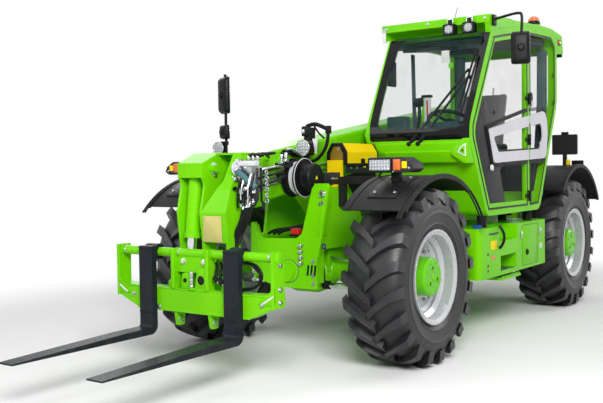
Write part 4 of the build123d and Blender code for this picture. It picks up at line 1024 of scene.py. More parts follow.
def make_beacon():
    piece = Piece("beacon_parts", "frame", "amber_plastic")
    base = [(0, 0), (0, 54), (8, 56), (26, 54), (34, 46), (34, 0)]
    piece.add(revolved(base, (985, 2160, 2627), (985, 2160, 2628), 40), BLACK)
    dome = [(30, 0), (30, 45), (42, 46), (56, 43), (68, 33), (76, 16), (78, 0)]
    piece.add(revolved(dome, (985, 2160, 2627), (985, 2160, 2628), 40), AMBER)
    for k in range(12):
        turn = 2 * pi * k / 12
        spot = (985 + 46 * cos(turn), 2160 + 46 * sin(turn))
        piece.add(rod((*spot, 2660), (spot[0] * 0.997 + 985 * 0.003, spot[1], 2682), 2.2, 8, 0.5), AMBER)
    piece.done(["beacon"])


def mirror_head(centre, turn, size):
    """A convex housing with its glass, about its own centre: size is (width, depth, height)."""
    wide, deep, tall = (s / 2 for s in size)
    back = bmesh.new()
    bmesh.ops.create_cube(back, size=2)
    bmesh.ops.scale(back, vec=(wide, deep, tall), verts=back.verts)
    front = [v for v in back.verts if v.co.y < 0]
    bmesh.ops.scale(back, vec=(0.72, 1, 0.8), verts=front)
    ease(back, min(wide, tall) * 0.28, 4)
    place = Matrix.Translation(centre) @ Matrix.Rotation(radians(turn), 4, "Z")
    glass = block((-wide * 0.9, wide * 0.9), (deep - 2, deep + 1.5), (-tall * 0.92, tall * 0.92), 1)
    joint = revolved([(0, 30), (8, 29), (10, 22), (16, 16), (16, 0)], (0, -deep, 0), (0, -deep - 1, 0), 28)
    return [moved(shape, place) for shape in (back, glass, joint)]


def make_mirrors():
    piece = Piece("mirror_parts", "frame", "black_plastic")
    heads = (((1337, 900, 2265), 22, (158, 50, 260)), ((-1040, 270, 2010), -20, (160, 50, 330)),
             ((-1040, 272, 1700), -20, (130, 46, 130)))
    for centre, turn, size in heads:
        back, glass, joint = mirror_head(centre, turn, size)
        piece.add(back, BLACK).add(glass, MIRROR).add(joint, BLACK)
    piece.add(hose([(1058, 1066, 2524), (1150, 1012, 2530), (1330, 914, 2532), (1346, 905, 2500), (1344, 903, 2420),
                    (1341, 901, 2330)], 10.5), BLACK)
    piece.add(rod((1050, 1066, 2480), (1050, 1066, 2560), 14, 20, 3), STEEL)
    piece.add(block((1051, 1072), (1038, 1092), (2478, 2562), 5, 3), BLACK)
    piece.add(hose([(-1040, 300, 1290), (-1040, 300, 1600), (-1040, 300, 2188)], 12.5), BLACK)
    for z in (1700, 1920, 2010, 2100):
        piece.add(rod((-1040, 300, z - 16), (-1040, 300, z + 16), 17, 18, 2), BLACK)
    piece.add(block((-1078, -1002), (268, 332), (1280, 1306), 6, 3), BLACK)
    round_lamp(piece, -1100, 262, 1560, 62, 58)
    piece.add(block((-1108, -1028), (294, 322), (1590, 1622), 5, 3), BLACK)
    piece.done(["mirrors"])


# Boom head, carriage and forks

def coupler(at, aim, size, cap):
    """A hydraulic quick coupling: hexagon, collar and nose, with a cap if cap is true."""
    at, aim = Vector(at), Vector(aim).normalized()
    hexagon = rod(at, at + aim * size * 0.9, size * 1.15, 6, 1)
    body = [(0, size), (size * 0.5, size), (size * 0.6, size * 0.82), (size * 1.5, size * 0.82), (size * 1.6, size),
            (size * 2.3, size), (size * 2.5, size * 0.7), (size * 2.9, size * 0.7), (size * 2.9, 0)]
    sleeve = revolved([(0, 0)] + body, at + aim * size * 0.9, at + aim * (size + 1), 20)
    if cap:
        end = at + aim * size * 3.3
        return joined(hexagon, sleeve), joined(rod(end, end + aim * size * 1.1, size * 1.1, 18, 2),
                                               ring(end + aim * size * 1.6, (1, 0, 0), size * 0.7, size * 0.2, 20, 6))
    return joined(hexagon, sleeve), None


def make_head():
    """Pins, blank plate, couplings and pipes on the gooseneck head."""
    piece = Piece("head_fittings", "extension", "chrome_steel")
    for x, side in ((105, 1), (-325, -1)):
        for y, z in ((-1040, 1120), (-1050, 1010)):
            if side < 0:
                piece.add(bolt((x, y, z), (side, 0, 0), 8), STEEL)
        pin = revolved([(0, 46), (4, 46), (7, 42), (7, 20), (22, 19), (24, 15), (24, 0)], (x, -985, 1390),
                       (x + side, -985, 1390), 32)
        piece.add(pin, SILVER)
        piece.add(bolt((x + side * 24, -985, 1390), (side, 0, 0), 9), CHROME)
        piece.add(bolt((x, -1012, 1330), (side, 0, 0), 6), STEEL)
        piece.add(revolved([(0, 52), (6, 52), (9, 46), (9, 0)], (x, -1010, 620), (x + side, -1010, 620), 32), LIME)
        piece.add(bolt((x + side * 9, -1010, 620), (side, 0, 0), 9), STEEL)
    boss = [(0, 40), (5, 40), (8, 34), (8, 24), (20, 22), (24, 16), (24, 8), (34, 7), (34, 0)]
    piece.add(revolved(boss, (-104, -962, 1390), (-103, -962, 1390), 32), SILVER)
    piece.add(bolt((-104, -948, 1340), (1, 0, 0), 7), STEEL)
    plate = prism([(-108, 0), (56, 0), (66, 176), (-86, 176)], "xz", -3, 0.5, 4, 1)
    lean = Matrix.Translation((0, -1076, 905)) @ Matrix.Rotation(radians(7.0), 4, "X")
    piece.add(moved(plate, lean), CREAM)
    rivets = [rod((x, -3, z), (x, -5, z), 4, 12, 1) for x, z in ((-98, 10), (46, 10), (-80, 166), (56, 166))]
    piece.add(moved(joined(*rivets), lean), STEEL)
    piece.add(block((106, 258), (-985, -930), (1404, 1438), 4, 3), SILVER)
    piece.add(block((106, 122), (-990, -925), (1390, 1450), 3, 2), STEEL)
    piece.add(rod((118, -992, 1376), (262, -978, 1262), 22, 8, 4), TEAL)
    piece.add(rod((112, -992, 1381), (122, -991, 1373), 27, 8, 3), STEEL)
    piece.add(prism([(108, 1352), (150, 1350), (262, 1250), (262, 1186), (222, 1132), (150, 1116), (108, 1180)], "xz",
                    -962, -940, 8, 4), DARK_TRIM)
    for k, (x, z, wide, tall) in enumerate(((112, 1306, 44, 34), (166, 1262, 40, 36), (214, 1222, 38, 30),
                                            (114, 1220, 36, 30), (160, 1176, 44, 30), (206, 1158, 26, 34))):
        piece.add(block((x, x + wide), (-984 + k % 3 * 5, -958), (z, z + tall), 7, 4), SILVER if k % 2 else STEEL)
    sizes = (13, 10, 14, 9, 12, 10, 13, 9, 11, 12, 9)
    for k, size in enumerate(sizes):
        row, column = divmod(k, 4)
        at = (122 + column * 36 + row * 5, -968, 1322 - column * 30 - row * 62)
        steel, cap = coupler(at, (0.16 * (column - 1), -1, -0.15 + 0.1 * row), size, k in (1, 4, 6, 9))
        piece.add(steel, CHROME if k % 2 else STEEL)
        if cap:
            piece.add(cap, BLACK)
    for k in range(5):
        low = (128 + k * 28, -1000, 1130 + k * 8)
        piece.add(hose([low, (132 + k * 30, -1012, 1210), (150 + k * 24, -1004, 1290), (146 + k * 26, -975, 1352)], 6.5),
                  CHROME if k % 2 else HOSE)
    for k in range(4):
        at = Vector((150 + k * 26, -962, 1150 + k * 12))
        piece.add(rod(at, at + Vector((0, -14, -34)), 10, 6, 1.5), CHROME)
        run = [at + Vector((0, -14, -34)), at + Vector((-6, -18, -90)), (112 + k * 8, -1000 + k * 16, 980),
               (84 + k * 12, -1016 + k * 10, 900), (70 + k * 12, -1010, 850)]
        piece.add(hose(run, 11), HOSE)
    for k in range(6):
        z = 1170 + k * 38
        piece.add(ring((268, -868, z), (k % 2, 1 - k % 2, 0), 13, 4.5, 20, 8), STEEL)
    piece.add(rod((232, -880, 1392), (232, -880, 1165), 8, 12, 2), BLACK)
    for k in range(3):
        start = (216, -860 - k * 30, 1380 - k * 60)
        run = [start, (262, -820, 1390 - k * 50), (240, -700, 1400 - k * 44), (170, -520, 1380 - k * 20),
               (60, -470, 1350 - k * 14)]
        piece.add(hose(run, 9), STEEL if k == 0 else HOSE)
    piece.add(block((40, 108), (-900, -800), (1410, 1470), 6, 3), LIME)
    for x in (150, 190, 226):
        piece.add(rod((x, -905, 1442), (x, -905, 1470), 13, 6, 2), CHROME)
        piece.add(rod((x, -905, 1470), (x + 30, -880, 1480), 15, 14, 4), BLACK)
        piece.add(hose([(x + 26, -884, 1479), (x + 60, -850, 1486), (x + 50, -760, 1490), (100, -660, 1478),
                        (60, -560, 1462)], 9), HOSE)
    for k in range(2):
        x = -20 + 70 * k
        piece.add(hose([(x, -780, 1320), (x, -700, 1345), (x, -560, 1372)], 12), HOSE)
    piece.add(block((-40, 80), (-800, -778), (1290, 1350), 5, 3), STEEL)
    piece.done()


def make_carriage_trim():
    piece = Piece("carriage_fittings", "fork_carriage", "chrome_steel")
    for x in (-191, -12):
        piece.add(revolved([(0, 20), (5, 20), (7, 16), (16, 15), (18, 10), (18, 0)], (x, -1180, 782), (x, -1181, 782), 24),
                  CHROME)
    for x in (-268, 28):
        piece.add(block((x - 15, x + 15), (-1212, -1196), (600, 868), 5, 3), LIME)
    for side, x in ((-1, -790), (1, 570)):
        for z in (560, 640, 790):
            piece.add(bolt((x, -1150, z), (side, 0, 0), 9), STEEL)
        piece.add(revolved([(0, 42), (9, 40), (12, 34), (12, 0)], (x, SHAFT_Y, SHAFT_Z), (x + side, SHAFT_Y, SHAFT_Z), 32),
                  LIME)
        gusset = [(x, 545), (x, 660), (x - side * 130, 545)]
        piece.add(prism(gusset, "xz", -1206, -1198, 6, 2), LIME)
        piece.add(prism([(x - side * 4, 600), (x - side * 4, 612), (x - side * 96, 556), (x - side * 96, 544)], "xz",
                        -1210, -1200, 1, 1), WHITE)
    plate = [(-84, 600), (20, 600), (20, 745), (-60, 745)]
    piece.add(prism(plate, "xz", -1200, -1182, 8, 3), LIME)
    piece.add(revolved([(0, 30), (0, 42), (6, 41), (7, 32), (4, 30)], (-25, -1200, 666), (-25, -1201, 666), 32), LIME)
    # A black disc inside the ring: painted shade for the hole in the plate.
    piece.add(rod((-25, -1198, 666), (-25, -1203, 666), 31, 32, 1), BLACK)
    for k in range(5):
        piece.add(revolved([(0, 0), (0, 11), (4, 14), (16, 14), (20, 11), (20, 0)], (-100, -1206, 616 + k * 21),
                           (-100, -1206, 617 + k * 21), 18), CHROME if k % 2 == 0 else STEEL)
    piece.add(block((-122, -78), (-1216, -1190), (598, 614), 4), LIME)
    piece.add(prism([(-230, 600), (-150, 600), (-132, 660), (-160, 715), (-215, 700)], "xz", -1176, -1160, 14, 3), LIME)
    piece.add(rod((-186, -1176, 656), (-186, -1182, 656), 14, 18, 1), BLACK)
    for k in range(3):
        x = 70 + k * 42
        piece.add(rod((x, -1180, 690 - k * 14), (x + 34, -1186, 668 - k * 14), 19, 14, 4), BLACK)
        piece.add(rod((x + 34, -1186, 668 - k * 14), (x + 48, -1188, 660 - k * 14), 12, 6, 2), CHROME)
        piece.add(hose([(x + 4, -1176, 692 - k * 14), (x - 4, -1160, 730), (x + 2, -1150, 762), (x - 6, -1158, 788)], 9), HOSE)
    for k in range(2):
        loop = [(190, -1188, 640 - k * 20), (300, -1160, 620 - k * 8), (408, -1150, 650), (442 - k * 16, -1150, 720),
                (400 - k * 14, -1150, 778 - k * 20), (350, -1150, 792), (230, -1152, 790), (150, -1156, 786)]
        piece.add(hose(loop, 9), HOSE)
    for x in (-640, -400, 220, 470):
        piece.add(bolt((x, -1200, 470 if abs(x + 110) < 400 else 540), (0, -1, 0), 8), STEEL)
    for z, low, high in ((597, -780, 560), (449, -600, 370)):
        piece.add(rod((low, -1199, z), (high, -1199, z), 5, 8, 1), LIME)
    for x in (-264, 31):
        piece.add(revolved([(0, 26), (6, 25), (8, 20), (0, 19)], (x - 13, -1148, 390), (x - 14, -1148, 390), 28), STEEL)
        piece.add(revolved([(0, 26), (6, 25), (8, 20), (0, 19)], (x + 13, -1148, 390), (x + 14, -1148, 390), 28), STEEL)
    for k in range(6):
        x = -740 + k * 250
        piece.add(rod((x, SHAFT_Y, SHAFT_Z), (x + 10, SHAFT_Y, SHAFT_Z), 31.5, 32, 1), STEEL)
    piece.done()


def make_fork_trim():
    """The rolled heel line and the worn edge strip on each fork."""
    for side, x in (("left", 259), ("right", -479)):
        piece = Piece(f"{side}_fork_trim", f"{side}_fork", "forged_steel")
        piece.add(block((x - 60.5, x + 60.5), (-1252, -1244), (430, 436), 1), FORGED)
        piece.add(block((x - 60.5, x + 60.5), (-1252, -1244), (860, 866), 1), FORGED)
        piece.done()


# Nose: reel, lamp, service box and pipes

def make_reel():
    piece = Piece("reel_details", "boom", "black_plastic")
    y, z = -265, 1315
    for x in (44, 142):
        dish = [(0, 60), (0, 138), (5, 142), (10, 140), (14, 120), (16, 60)]
        piece.add(revolved(dish, (x, y, z), (x + 1, y, z), 48), BLACK)
        for k in range(10):
            turn = 2 * pi * k / 10
            spot = (y + 112 * cos(turn), z + 112 * sin(turn))
            piece.add(rod((x + 12, *spot), (x + 17, *spot), 6, 12, 1), DARK_TRIM)
    piece.add(ring((160, y, z), (1, 0, 0), 139, 3.5, 48, 8), SILVER)
    wound = [(0, 60), (0, 118), (3, 121), (34, 121), (37, 118), (37, 60)]
    piece.add(revolved(wound, (94, y, z), (95, y, z), 48), SILVER)
    for k in range(2):
        piece.add(ring((70 + k * 14, y, z), (1, 0, 0), 118, 8, 40, 8), HOSE)
    drum = [(0, 60), (0, 92), (5, 102), (26, 103), (30, 98), (66, 98), (70, 102), (86, 101), (94, 94), (97, 80), (95, 74),
            (95, 0)]
    piece.add(revolved(drum, (164, y, z), (165, y, z), 48), BLACK)
    for k in range(3):
        turn = radians(20 + 120 * k)
        spot = (y + 97 * cos(turn), z + 97 * sin(turn))
        piece.add(rod((176, *spot), (196, *spot), 12, 14, 3), BLACK)
    piece.add(prism([(y - 15, z - 12), (y + 15, z - 12), (y, z + 15)], "yz", 258, 261.5, 2, 0.5), YELLOW)
    for k in range(2):
        piece.add(hose([(80 + k * 24, y - 66, z + 92), (86 + k * 24, y - 170, z + 96 - k * 16), (66 + k * 24, y - 280, z + 76),
                        (24 + k * 16, y - 400, z + 30), (-20 + k * 10, y - 480, z + 10 - k * 20)], 10), HOSE)
    for k, x in enumerate((-30, 4, 38, 72)):
        piece.add(rod((x, -400 + k * 8, 1436), (x, -400 + k * 8, 1466 + k * 10), 15, 6, 3), STEEL if k % 2 else CHROME)
        piece.add(rod((x, -400 + k * 8, 1466 + k * 10), (x + 12, -380 + k * 8, 1492 + k * 9), 13, 12, 4), BLACK)
        piece.add(hose([(x + 10, -382, 1490 + k * 9), (x + 30, -340, 1500 + k * 10), (x + 40, -270, 1486), (60 + k * 8, -190, 1470)],
                       9), STEEL if k == 3 else HOSE)
    piece.add(block((-44, 92), (-414, -360), (1426, 1446), 5, 3), STEEL)
    piece.add(revolved([(0, 0), (0, 30), (12, 32), (26, 28), (30, 17), (30, 0)], (-20, -470, 1420), (-20, -471, 1420), 28), STEEL)
    for k in range(3):
        at = (36 + 26 * k, -452, 1398 + 12 * k)
        steel, cap = coupler(at, (0.3, -1, 0.1), 11, k == 1)
        piece.add(steel, CHROME)
        if cap:
            piece.add(cap, BLACK)
    piece.done()


def round_lamp(piece, x, y, z, radius, depth):
    """A round lamp facing forward whose face is at y."""
    shell = [(0, 0), (0, radius * 0.55), (depth * 0.25, radius * 0.85), (depth * 0.75, radius), (depth, radius),
             (depth + 4, radius * 0.95), (depth, radius * 0.88), (depth, 0)]
    piece.add(revolved(shell, (x, y + depth, z), (x, y + depth - 1, z), 40), BLACK)
    face = [(0, 0), (0, radius * 0.89), (4, radius * 0.87), (9, radius * 0.5), (10, 0)]
    piece.add(revolved(face, (x, y + 2, z), (x, y + 1, z), 40), LAMP_FACE)
    piece.add(ring((x, y - 1, z), (0, 1, 0), radius * 0.93, 3.5, 40, 8), CHROME)


def make_boom_lamp():
    piece = Piece("boom_lamp_parts", "boom", "lamp_plastic")
    round_lamp(piece, 84, -182, 1532, 62, 60)
    piece.add(block((58, 118), (-160, -128), (1618, 1692), 8, 3), BLACK)
    piece.add(block((66, 90), (-164, -156), (1640, 1668), 3), STEEL)
    arch = [(96, -142, 1690), (150, -136, 1712), (210, -124, 1690), (262, -110, 1664)]
    piece.add(hose(arch, 15), BLACK)
    piece.add(block((246, 282), (-128, -92), (1632, 1690), 6, 3), BLACK)
    leg = [(262, -110, 1650), (262, -112, 1580), (228, -118, 1500), (168, -124, 1440), (110, -120, 1430)]
    piece.add(hose(leg, 13), BLACK)
    piece.add(hose([(150, -130, 1700), (190, -128, 1630), (236, -120, 1600)], 7), BLACK)
    piece.add(prism([(142, 1600), (186, 1596), (172, 1480)], "xz", -142, -128, 6, 3), SILVER)
    piece.add(block((60, 96), (-132, -100), (1430, 1640), 6, 3), BLACK)
    piece.done()


def make_box():
    """The yellow service box with its black front frame, window, sill and latch."""
    piece = Piece("service_box_parts", "frame", "charcoal_paint")
    hexagon = [(102, 1402), (271, 1402), (271, 1502), (228, 1571), (146, 1571), (102, 1502)]
    piece.add(band_xz(hexagon, 24, 112, 142, 3), BLACK)
    piece.add(band_xz(hexagon, 10, 588, 604, 3), BLACK)
    inner = shrunk(hexagon, 23)
    piece.add(prism(inner, "xz", 126, 130, 2, 1), AMBER_SHEET)
    piece.add(block((268, 286), (120, 610), (1392, 1416), 4, 3), BLACK)
    piece.add(block((266, 276), (340, 392), (1404, 1452), 4, 3), BLACK)
    piece.add(hose([(277, 345, 1400), (284, 352, 1385), (284, 384, 1385), (277, 392, 1400)], 4), YELLOW)
    for y in (180, 270, 450, 560):
        piece.add(bolt((271, y, 1380), (1, 0, 0), 6), STEEL)
    piece.add(block((262, 275), (120, 610), (1340, 1396), 5, 3), CHARCOAL)
    piece.add(block((146, 240), (-116, 84), (1262, 1350), 5, 3), DARK_TRIM)
    piece.add(rod((250, 40, 1300), (250, -60, 1302), 9, 14, 2), STEEL)
    piece.done()


def make_nose():
    piece = Piece("nose_fittings", "frame", "lime_paint")
    piece.add(bolt((350, -331, 1200), (0, -1, 0), 14), CHROME)
    piece.add(bolt((330, -331, 1130), (0, -1, 0), 7), STEEL)
    piece.add(bolt((352, -331, 1138), (0, -1, 0), 7), STEEL)
    piece.add(prism([(300, 900), (318, 900), (362, 1120), (344, 1120)], "xz", -336, -328, 4, 2), LIME)
    piece.add(prism([(-236, 640), (-236, 840), (-200, 860), (-200, 620)], "xz", -334, -328, 5, 2), LIME)
    piece.add(block((58, 128), (-318, -260), (905, 948), 8, 3), RED)
    piece.add(block((50, 136), (-322, -250), (892, 908), 4, 3), BLACK)
    piece.add(revolved([(0, 80), (5, 79), (8, 70), (8, 62), (4, 58), (4, 0)], (53, -331, 640), (53, -332, 640), 48), LIME)
    piece.add(revolved([(0, 84), (2, 84), (3, 80), (0, 79)], (53, -331, 640), (53, -332, 640), 48), GREY_EDGE)
    for z in (700, 742, 784, 826):
        piece.add(rod((160, -342, z - 15), (160, -342, z + 15), 10, 14, 2), CHROME)
        piece.add(block((136, 160), (-344, -331), (z - 12, z + 4), 3), STEEL)
        piece.add(block((160, 184), (-344, -331), (z - 4, z + 12), 3), STEEL)
    for k in range(3):
        slot = [(206 + k * 30, 616), (222 + k * 30, 616), (232 + k * 30, 692), (216 + k * 30, 692)]
        piece.add(prism(slot, "xz", -333, -329, 3, 1), BLACK)
    piece.add(block((196, 204), (-335, -329), (606, 700), 2), LIME)
    piece.add(block((340, 376), (-334, -330), (812, 850), 2), NAVY)
    piece.add(rod((358, -334, 831), (358, -335.5, 831), 13, 20, 0.5), GREY_EDGE)
    for x in (-270, 265):
        for z in (560, 620, 720):
            piece.add(bolt((x, -331, z), (0, -1, 0), 8), STEEL)
    for k in range(3):
        x = -150 + k * 46
        run = [(x, -300, 905), (x, -240, 930), (x, 0, 925), (x + 10, 400, 965), (x + 10, 900, 968), (x, 1240, 968)]
        piece.add(hose(run, 11), HOSE)
    piece.done()


# Fenders and the lamps on them

def arc_strip(centre, radius, thick, first, last, low, high, steps=28):
    """A curved strip about an axis along x; angles are from straight up, front positive, in degrees."""
    cy, cz = centre
    shape = bmesh.new()
    square = [(low, radius), (high, radius), (high, radius + thick), (low, radius + thick)]
    start = radians(first)
    corners = [shape.verts.new((x, cy - r * sin(start), cz + r * cos(start))) for x, r in square]
    face = shape.faces.new(corners)
    bmesh.ops.spin(shape, geom=[face], cent=(0, cy, cz), axis=(1, 0, 0), angle=radians(last - first), steps=steps)
    bmesh.ops.recalc_face_normals(shape, faces=shape.faces)
    return ease(shape, 1.5, 2, [e for e in sharp_edges(shape, 0.9)])


def make_fenders():
    piece = Piece("fender_trim", "frame", "black_plastic")
    left = []
    for centre, radius, front, rear in (((0, 478), 847, 48, 60), ((REAR_AXLE_Y, 674), 702, 42, 30)):
        left.append(arc_strip(centre, radius + 1, 7, -rear + 1, front - 1, 1092, 1104))
        left.append(arc_strip(centre, radius + 1, 9, -rear + 1, front - 1, 1112, 1128))
        left.append(arc_strip(centre, radius + 0.5, 4, -rear + 4, front - 6, 700, 716))
    piece.add(mirrored(joined(*left)), FENDER)
    boss = arc_strip((0, 478), 846, 9, 10, 34, 800, 1010, 12)
    piece.add(mirrored(boss), FENDER)
    heads = []
    for angle in (14, 30):
        turn = radians(angle)
        at = (0, -856 * sin(turn), 478 + 856 * cos(turn))
        for x in (830, 980):
            heads.append(bolt((x, at[1], at[2]), (0, -sin(turn), cos(turn)), 6))
    piece.add(mirrored(joined(*heads)), STEEL)
    piece.done()


def make_lamps():
    """Headlamps with indicator and reflector, and the lamps over the rear fenders."""
    piece = Piece("lamp_parts", "frame", "lamp_plastic")
    shell = [(758, 1346), (1062, 1346), (1100, 1368), (1084, 1408), (1020, 1448), (758, 1448)]
    left = prism(shell, "xz", -388, -232, 8, 6)
    piece.add(mirrored(left), DARK_TRIM)
    glass = block((770, 934), (-399, -385), (1358, 1436), 7, 3)
    piece.add(mirrored(glass), LAMP_FACE)
    rim = band_xz([(764, 1352), (940, 1352), (940, 1442), (764, 1442)], 9, -402, -384, 2)
    piece.add(mirrored(rim), BLACK)
    dishes = []
    for x in (810, 888):
        dishes.append(revolved([(0, 28), (8, 25), (20, 12), (24, 0)], (x, -389, 1397), (x, -388, 1397), 24))
    piece.add(mirrored(joined(*dishes)), REFLECTOR)
    bars = [block((784 + k * 34, 788 + k * 34), (-401.5, -398.5), (1364, 1430), 0.8, 1) for k in range(5)]
    piece.add(mirrored(joined(*bars)), CHROME)
    piece.add(mirrored(block((950, 1004), (-397, -386), (1362, 1434), 6, 3)), AMBER)
    piece.add(mirrored(block((1012, 1050), (-394, -386), (1374, 1420), 5, 3)), YELLOW)
    piece.add(mirrored(joined(bolt((1064, -388, 1376), (0, -1, 0), 4), bolt((946, -388, 1352), (0, -1, 0), 3))), STEEL)
    piece.add(mirrored(block((880, 940), (-300, -238), (1280, 1350), 8, 3)), BLACK)
    piece.add(mirrored(hose([(800, -232, 1390), (760, -200, 1370), (700, -120, 1330), (640, -60, 1312)], 7)), HOSE)
    tail = block((982, 1098), (REAR_AXLE_Y + 184, REAR_AXLE_Y + 206), (1350, 1422), 5, 3)
    piece.add(mirrored(tail), BLACK)
    piece.add(mirrored(block((988, 1022), (REAR_AXLE_Y + 204, REAR_AXLE_Y + 217), (1356, 1416), 4, 2)), AMBER)
    piece.add(mirrored(block((1026, 1092), (REAR_AXLE_Y + 204, REAR_AXLE_Y + 217), (1356, 1416), 4, 2)), RED_LENS)
    piece.add(block((1000, 1030), (REAR_AXLE_Y - 40, REAR_AXLE_Y + 4), (1376, 1432), 5, 3), YELLOW)
    piece.done(["head_lamps", "tail_lamps"])


# Side module, engine hood, rear and underside

def make_module():
    piece = Piece("module_fittings", "frame", "lime_paint")
    piece.add(block((1049, 1053), (1000, 1120), (720, 790), 2), YELLOW)
    piece.add(block((1049, 1053), (1010, 1080), (640, 672), 2), AMBER)
    piece.add(block((1048, 1054), (960, 1150), (838, 852), 2), GREY)
    for z in (560, 600, 690):
        piece.add(rod((1050, 940, z), (1052, 940, z), 12, 20, 1), BLACK)
    for y in (1640, 2100):
        piece.add(block((1049, 1058), (y, y + 26), (760, 830), 4, 3), STEEL)
        piece.add(rod((1056, y + 13, 770), (1062, y + 13, 818), 5, 12, 1), STEEL)
    piece.add(block((1049, 1052), (1690, 2050), (540, 860), 2), LIME)
    piece.add(band(shrunk([(1680, 530), (2060, 530), (2060, 870), (1680, 870)], -4),
                   [(1680, 530), (2060, 530), (2060, 870), (1680, 870)], 1048, 1051, 1), BLACK)
    piece.add(revolved([(0, 26), (12, 26), (16, 20), (16, 0)], (1050, 1780, 640), (1051, 1780, 640), 6), BLACK)
    piece.add(block((1049, 1053), (2110, 2160), (640, 690), 2), WHITE)
    cap = revolved([(0, 36), (20, 36), (26, 30), (26, 0)], (980, 900, 895), (980, 900, 896), 28)
    piece.add(cap, BLUE_CAP)
    for z, inner in ((655, 862), (472, 842)):
        for k in range(14):
            y = 1236 + k * 29
            if y < 1640:
                piece.add(block((inner, 1048), (y, y + 10), (z if z == 472 else 528, (z if z == 472 else 528) + 7), 2, 1), STEEL)
    for k in range(7):
        piece.add(block((1040, 1052), (1240 + k * 58, 1262 + k * 58), (472, 486), 2, 1), LIME)
    piece.add(hose([(1052, 1170, 720), (1092, 1172, 760), (1092, 1172, 860), (1052, 1170, 900)], 11), BLACK)
    piece.done()


def make_hood_trim():
    """Louvres, mesh screens, latches and exhaust on the engine hood."""
    piece = Piece("hood_details", "hood", "charcoal_paint")
    for k in range(16):
        y = 940 + k * 40
        piece.add(prism([(y, 1190), (y + 24, 1190), (y + 24, 900), (y, 900)], "yz", -1084, -1079, 8, 2), BLACK)
    piece.add(band([(915, 870), (1610, 870), (1610, 1220), (915, 1220)],
                   shrunk([(915, 870), (1610, 870), (1610, 1220), (915, 1220)], 12), -1086, -1079, 2), LIME)
    for k in range(11):
        y = 1700 + k * 40
        piece.add(prism([(y, 1190), (y + 22, 1190), (y + 22, 900), (y, 900)], "yz", -1084, -1079, 8, 2), BLACK)
    for k in range(14):
        y = 1000 + k * 62
        piece.add(block((-860, -560), (y, y + 28), (1418, 1424), 6, 3), BLACK)
    for y in (960, 2110):
        piece.add(block((-1088, -1078), (y, y + 30), (770, 840), 4, 3), STEEL)
    for k in range(12):
        x = -1010 + k * 46
        piece.add(prism([(x, 840), (x + 22, 840), (x + 22, 1240), (x, 1240)], "xz", 2268, 2274, 8, 2), BLACK)
    piece.done()


def make_engine():
    """What the lifted hood shows: covers, manifolds, filters, belt drive and radiator."""
    piece = Piece("engine_details", "frame", "iron")
    piece.add(block((-850, -640), (1080, 1700), (1276, 1330), 16, 4), BLACK)
    for k in range(7):
        piece.add(block((-838, -652), (1110 + k * 90, 1128 + k * 90), (1326, 1338), 5, 2), BLACK)
    piece.add(revolved([(0, 34), (16, 34), (22, 28), (22, 0)], (-790, 1650, 1330), (-790, 1650, 1331), 24), YELLOW)
    for k in range(8):
        y = 1010 + k * 136
        piece.add(block((-986, -968), (y, y + 26), (760, 1250), 6, 3), IRON)
    for k in range(4):
        y = 1160 + k * 150
        piece.add(hose([(-968, y, 1200), (-1010, y, 1200), (-1026, y + 10, 1180), (-1026, y + 30, 1150)], 20), STEEL)
        piece.add(hose([(-968, y + 50, 1040), (-1004, y + 50, 1040), (-1020, y + 60, 1020), (-1020, y + 80, 1000)], 22), IRON)
        piece.add(hose([(-700, y, 1276), (-660, y, 1300), (-600, y - 10, 1300), (-560, 1300 + k * 20, 1276)], 5), STEEL)
    piece.add(rod((-1022, 1100, 1140), (-1022, 1740, 1140), 30, 24, 6), STEEL)
    piece.add(rod((-1018, 1140, 990), (-1018, 1760, 990), 32, 24, 6), IRON)
    for y in (1330, 1440):
        can = [(0, 0), (0, 40), (6, 42), (100, 42), (112, 38), (112, 30), (128, 30), (128, 0)]
        piece.add(revolved(can, (-1012, y, 800), (-1012, y, 801), 28), BLUE_CAP if y == 1330 else WHITE)
    cleaner = [(0, 0), (0, 40), (10, 52), (24, 56), (60, 56), (64, 52), (70, 56), (240, 56), (250, 50), (262, 30), (262, 0)]
    piece.add(revolved(cleaner, (-740, 1730, 1337), (-740, 1731, 1337), 40), BLACK)
    piece.add(hose([(-740, 1990, 1337), (-740, 2040, 1330), (-800, 2060, 1280), (-900, 1960, 1200), (-1000, 1800, 1150),
                    (-1022, 1740, 1140)], 28), HOSE)
    for y, radius in ((958, 120), (948, 100), (940, 34)):
        piece.add(revolved([(0, 0), (0, radius), (5, radius - 8), (10, radius), (10, 0)], (-725, y, 940),
                           (-725, y + 1, 940), 40), IRON)
    for x, z, radius in ((-890, 1120, 52), (-580, 1140, 60)):
        piece.add(revolved([(0, 0), (0, radius), (6, radius - 7), (12, radius), (12, radius * 0.9), (26, radius * 0.85), (26, 0)],
                           (x, 950, z), (x, 951, z), 32), STEEL)
    belt = [(-845, 940), (-942, 1118), (-900, 1170), (-580, 1201), (-520, 1150), (-605, 940), (-725, 820)]
    loop = band_xz(belt, 9, 950, 970, 2)
    piece.add(loop, RUBBER)
    piece.add(block((-960, -500), (2110, 2180), (716, 1250), 10, 3), BLACK)
    for k in range(22):
        z = 750 + k * 22
        piece.add(block((-940, -520), (2104, 2112), (z, z + 9), 2, 1), DARK_TRIM)
    for x, z in ((-560, 1210), (-900, 780)):
        piece.add(hose([(x, 2020, z), (x, 2060, z), (x, 2112, z)], 28), HOSE)
    piece.add(revolved([(0, 30), (14, 30), (18, 24), (18, 0)], (-730, 2145, 1248), (-730, 2145, 1249), 24), BLACK)
    piece.add(hose([(-972, 1820, 1000), (-1000, 1830, 1120), (-990, 1830, 1260)], 5), STEEL)
    piece.add(ring((-990, 1830, 1278), (1, 0, 0), 17, 4, 24, 8), YELLOW)
    piece.done()


